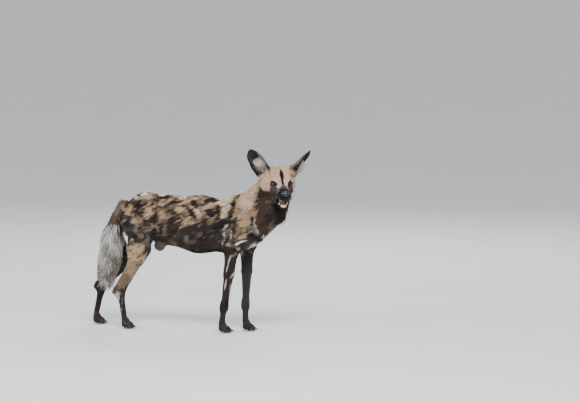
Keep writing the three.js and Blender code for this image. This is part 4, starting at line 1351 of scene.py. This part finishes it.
def grow_coat(name, nodes, count, seed, width, rise, keep=None, length=None, shape=sliver,
              droop=0.0, pale=1.0):
    global coat_triangles
    random = np.random.default_rng(seed)
    wanted = np.isin(corner_part, [PART[node] for node in nodes])
    if keep is not None:
        wanted &= keep(skin_mm[skin_corners].mean(axis=1), skin_out[skin_corners].mean(axis=1))
    corners = skin_corners[wanted]
    chosen, shares = sow(skin_mm, corners, int(count * TUFTS), random)
    picked = corners[chosen]
    root = np.einsum("nk,nkj->nj", shares, skin_mm[picked])
    out = unit(np.einsum("nk,nkj->nj", shares, skin_out[picked]))
    parts = skin_part[picked[:, 0]]
    hairy = ~is_bare(root)
    root, out, parts = root[hairy], out[hairy], parts[hairy]
    count = len(root)
    full_length = length_at(root, out, parts) if length is None else length(root)
    long = (full_length * random.uniform(*LENGTH_SPREAD, count))[:, None]
    lie = lie_at(root, parts) + random.normal(0, 0.13, (count, 3))
    lie = unit(lie - out * np.sum(lie * out, axis=1)[:, None])
    half = (width * random.uniform(*WIDTH_SPREAD, count) / 2)[:, None]
    raised = (rise * random.uniform(*RISE_SPREAD, count))[:, None]
    tone = paint(root, out, parts) * random.uniform(*TONE_SPREAD, (count, 1)) * pale
    points, faces, shades = shape(
        root - out * SEAT_DEPTH, out, lie, np.cross(out, lie), half, long, raised, droop)
    points = np.clip(points, room_low, room_high)
    each = points.shape[1]
    faces = (np.array(faces)[None] + np.arange(count)[:, None, None] * each).reshape(-1, 3)
    piece = new_piece(name, metres(points.reshape(-1, 3)), faces, smooth=False)
    colour_piece(piece.data, (tone[:, None, :] * np.array(shades)[None, :, None]).reshape(-1, 3))
    turn = np.arange(each) / each * 2 * math.pi
    patch = np.stack([np.cos(turn), np.sin(turn)], axis=1) * PATCH_RADIUS
    place = (unwrap(root, parts)[:, None, :] + patch[None]).reshape(-1, 2)
    layer = piece.data.uv_layers.new(name="OFBake")
    layer.data.foreach_set("uv", place[faces.ravel()].astype(np.float32).ravel())
    piece.data.materials.append(coat_finish)
    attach(piece, "root")
    coat_triangles += len(faces)
    print(f"{name}: {count} tufts, {len(faces)} triangles")


print(len(skin_corners), "triangles of skin to grow on")

# %% [markdown]
# Under the ruff and the brush the whole dog wears a short coat. Each flank is a piece of its own, so
# that no piece passes 200,000 triangles. Hair is finest on the head and ears.

# %% Short coat
grow_coat("coat_right", ["torso"], 49000, 11, 3.0, 0.06, keep=lambda p, out: p[:, 1] < 0)
grow_coat("coat_left", ["torso"], 49000, 12, 3.0, 0.06, keep=lambda p, out: p[:, 1] >= 0)
grow_coat("coat_forelegs", [n for n in LEG_PARTS if "fore" in n], 30000, 13, 2.2, 0.08)
grow_coat("coat_hind_legs", [n for n in LEG_PARTS if "hind" in n], 36000, 14, 2.4, 0.07)
grow_coat("coat_neck", ["neck"], 26000, 15, 3.0, 0.08)
grow_coat("coat_head", ["head", "lower_jaw"], 42000, 16, 1.8, 0.10)
grow_coat("coat_ears", ["ear_right", "ear_left"], 22000, 17, 1.8, 0.06)
print("short coat:", coat_triangles, "triangles")

# %% [markdown]
# The long hair is what a passer-by remembers: a ruff on the throat and cheeks, white hair in the ears
# and the flag of the tail. Its blades are bent, so that they leave the skin at a slant and fall back.

# %% Ruff, ear hair and tail brush
def on_throat(points, normals):
    return (normals[:, 0] > 0.1) & (normals[:, 2] < 0.3) & (points[:, 2] < 672) & (points[:, 0] > 360)


def on_cheek(points, normals):
    a, b, c = in_head(points).T
    return (a < 24) & (c < 6) & (np.abs(b) > 34) | (a < -40)


def ear_cup(points, normals):
    wanted = np.zeros(len(points), bool)
    for side, outer_edge in (("right", 0.5), ("left", 0.95)):
        up, over, opening, _ = ear_place(in_head(points), side)
        inside = normals @ head_axes.T @ opening > 0.25
        wanted |= inside & (up > 0.06) & (up < 0.44) & (over > -0.62) & (over < outer_edge)
    return wanted


def neck_length(points):
    return 32 + 8 * blend(720, 640, points[:, 2]) - 12 * blend(620, 560, points[:, 2])


def throat_length(points):
    return 44 - 14 * blend(640, 672, points[:, 2]) - 18 * blend(600, 560, points[:, 2])


def brush_length(points):
    return 24 + 66 * blend(600, 520, points[:, 2]) - 10 * blend(330, 270, points[:, 2])


grow_coat("ruff_neck", ["neck"], 8000, 21, 3.2, 0.11, length=neck_length, shape=blade, droop=0.1)
grow_coat("ruff_throat", ["neck"], 3200, 25, 3.4, 0.42, on_throat, throat_length, blade, droop=0.25)
grow_coat("ruff_cheeks", ["head", "lower_jaw", "neck"], 5200, 22, 3.2, 0.34, on_cheek,
          lambda points: np.full(len(points), 26.0), blade, droop=0.1)
grow_coat("ear_hair", ["ear_right", "ear_left"], 4200, 23, 1.8, 0.3, ear_cup,
          lambda points: np.full(len(points), 29.0), blade, pale=1.5)
grow_coat("tail_brush", ["tail"], 9600, 24, 5.2, 0.36, length=brush_length, shape=blade, droop=0.3)
print("whole coat:", coat_triangles, "triangles")

# %% [markdown]
# The dressed dog must stay inside the box of its solids, because the part's size is theirs. Both boxes
# are printed in millimetres.

# %% Size of the solids and of the dressed dog
dressed_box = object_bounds()
sizes = {"solids": [[float(v) for v in corner] for corner in solid_box],
         "dressed": [[float(v) for v in corner] for corner in dressed_box]}
for kind, box in sizes.items():
    print(kind, "box in mm:", [[round(value * 1000, 1) for value in corner] for corner in box])
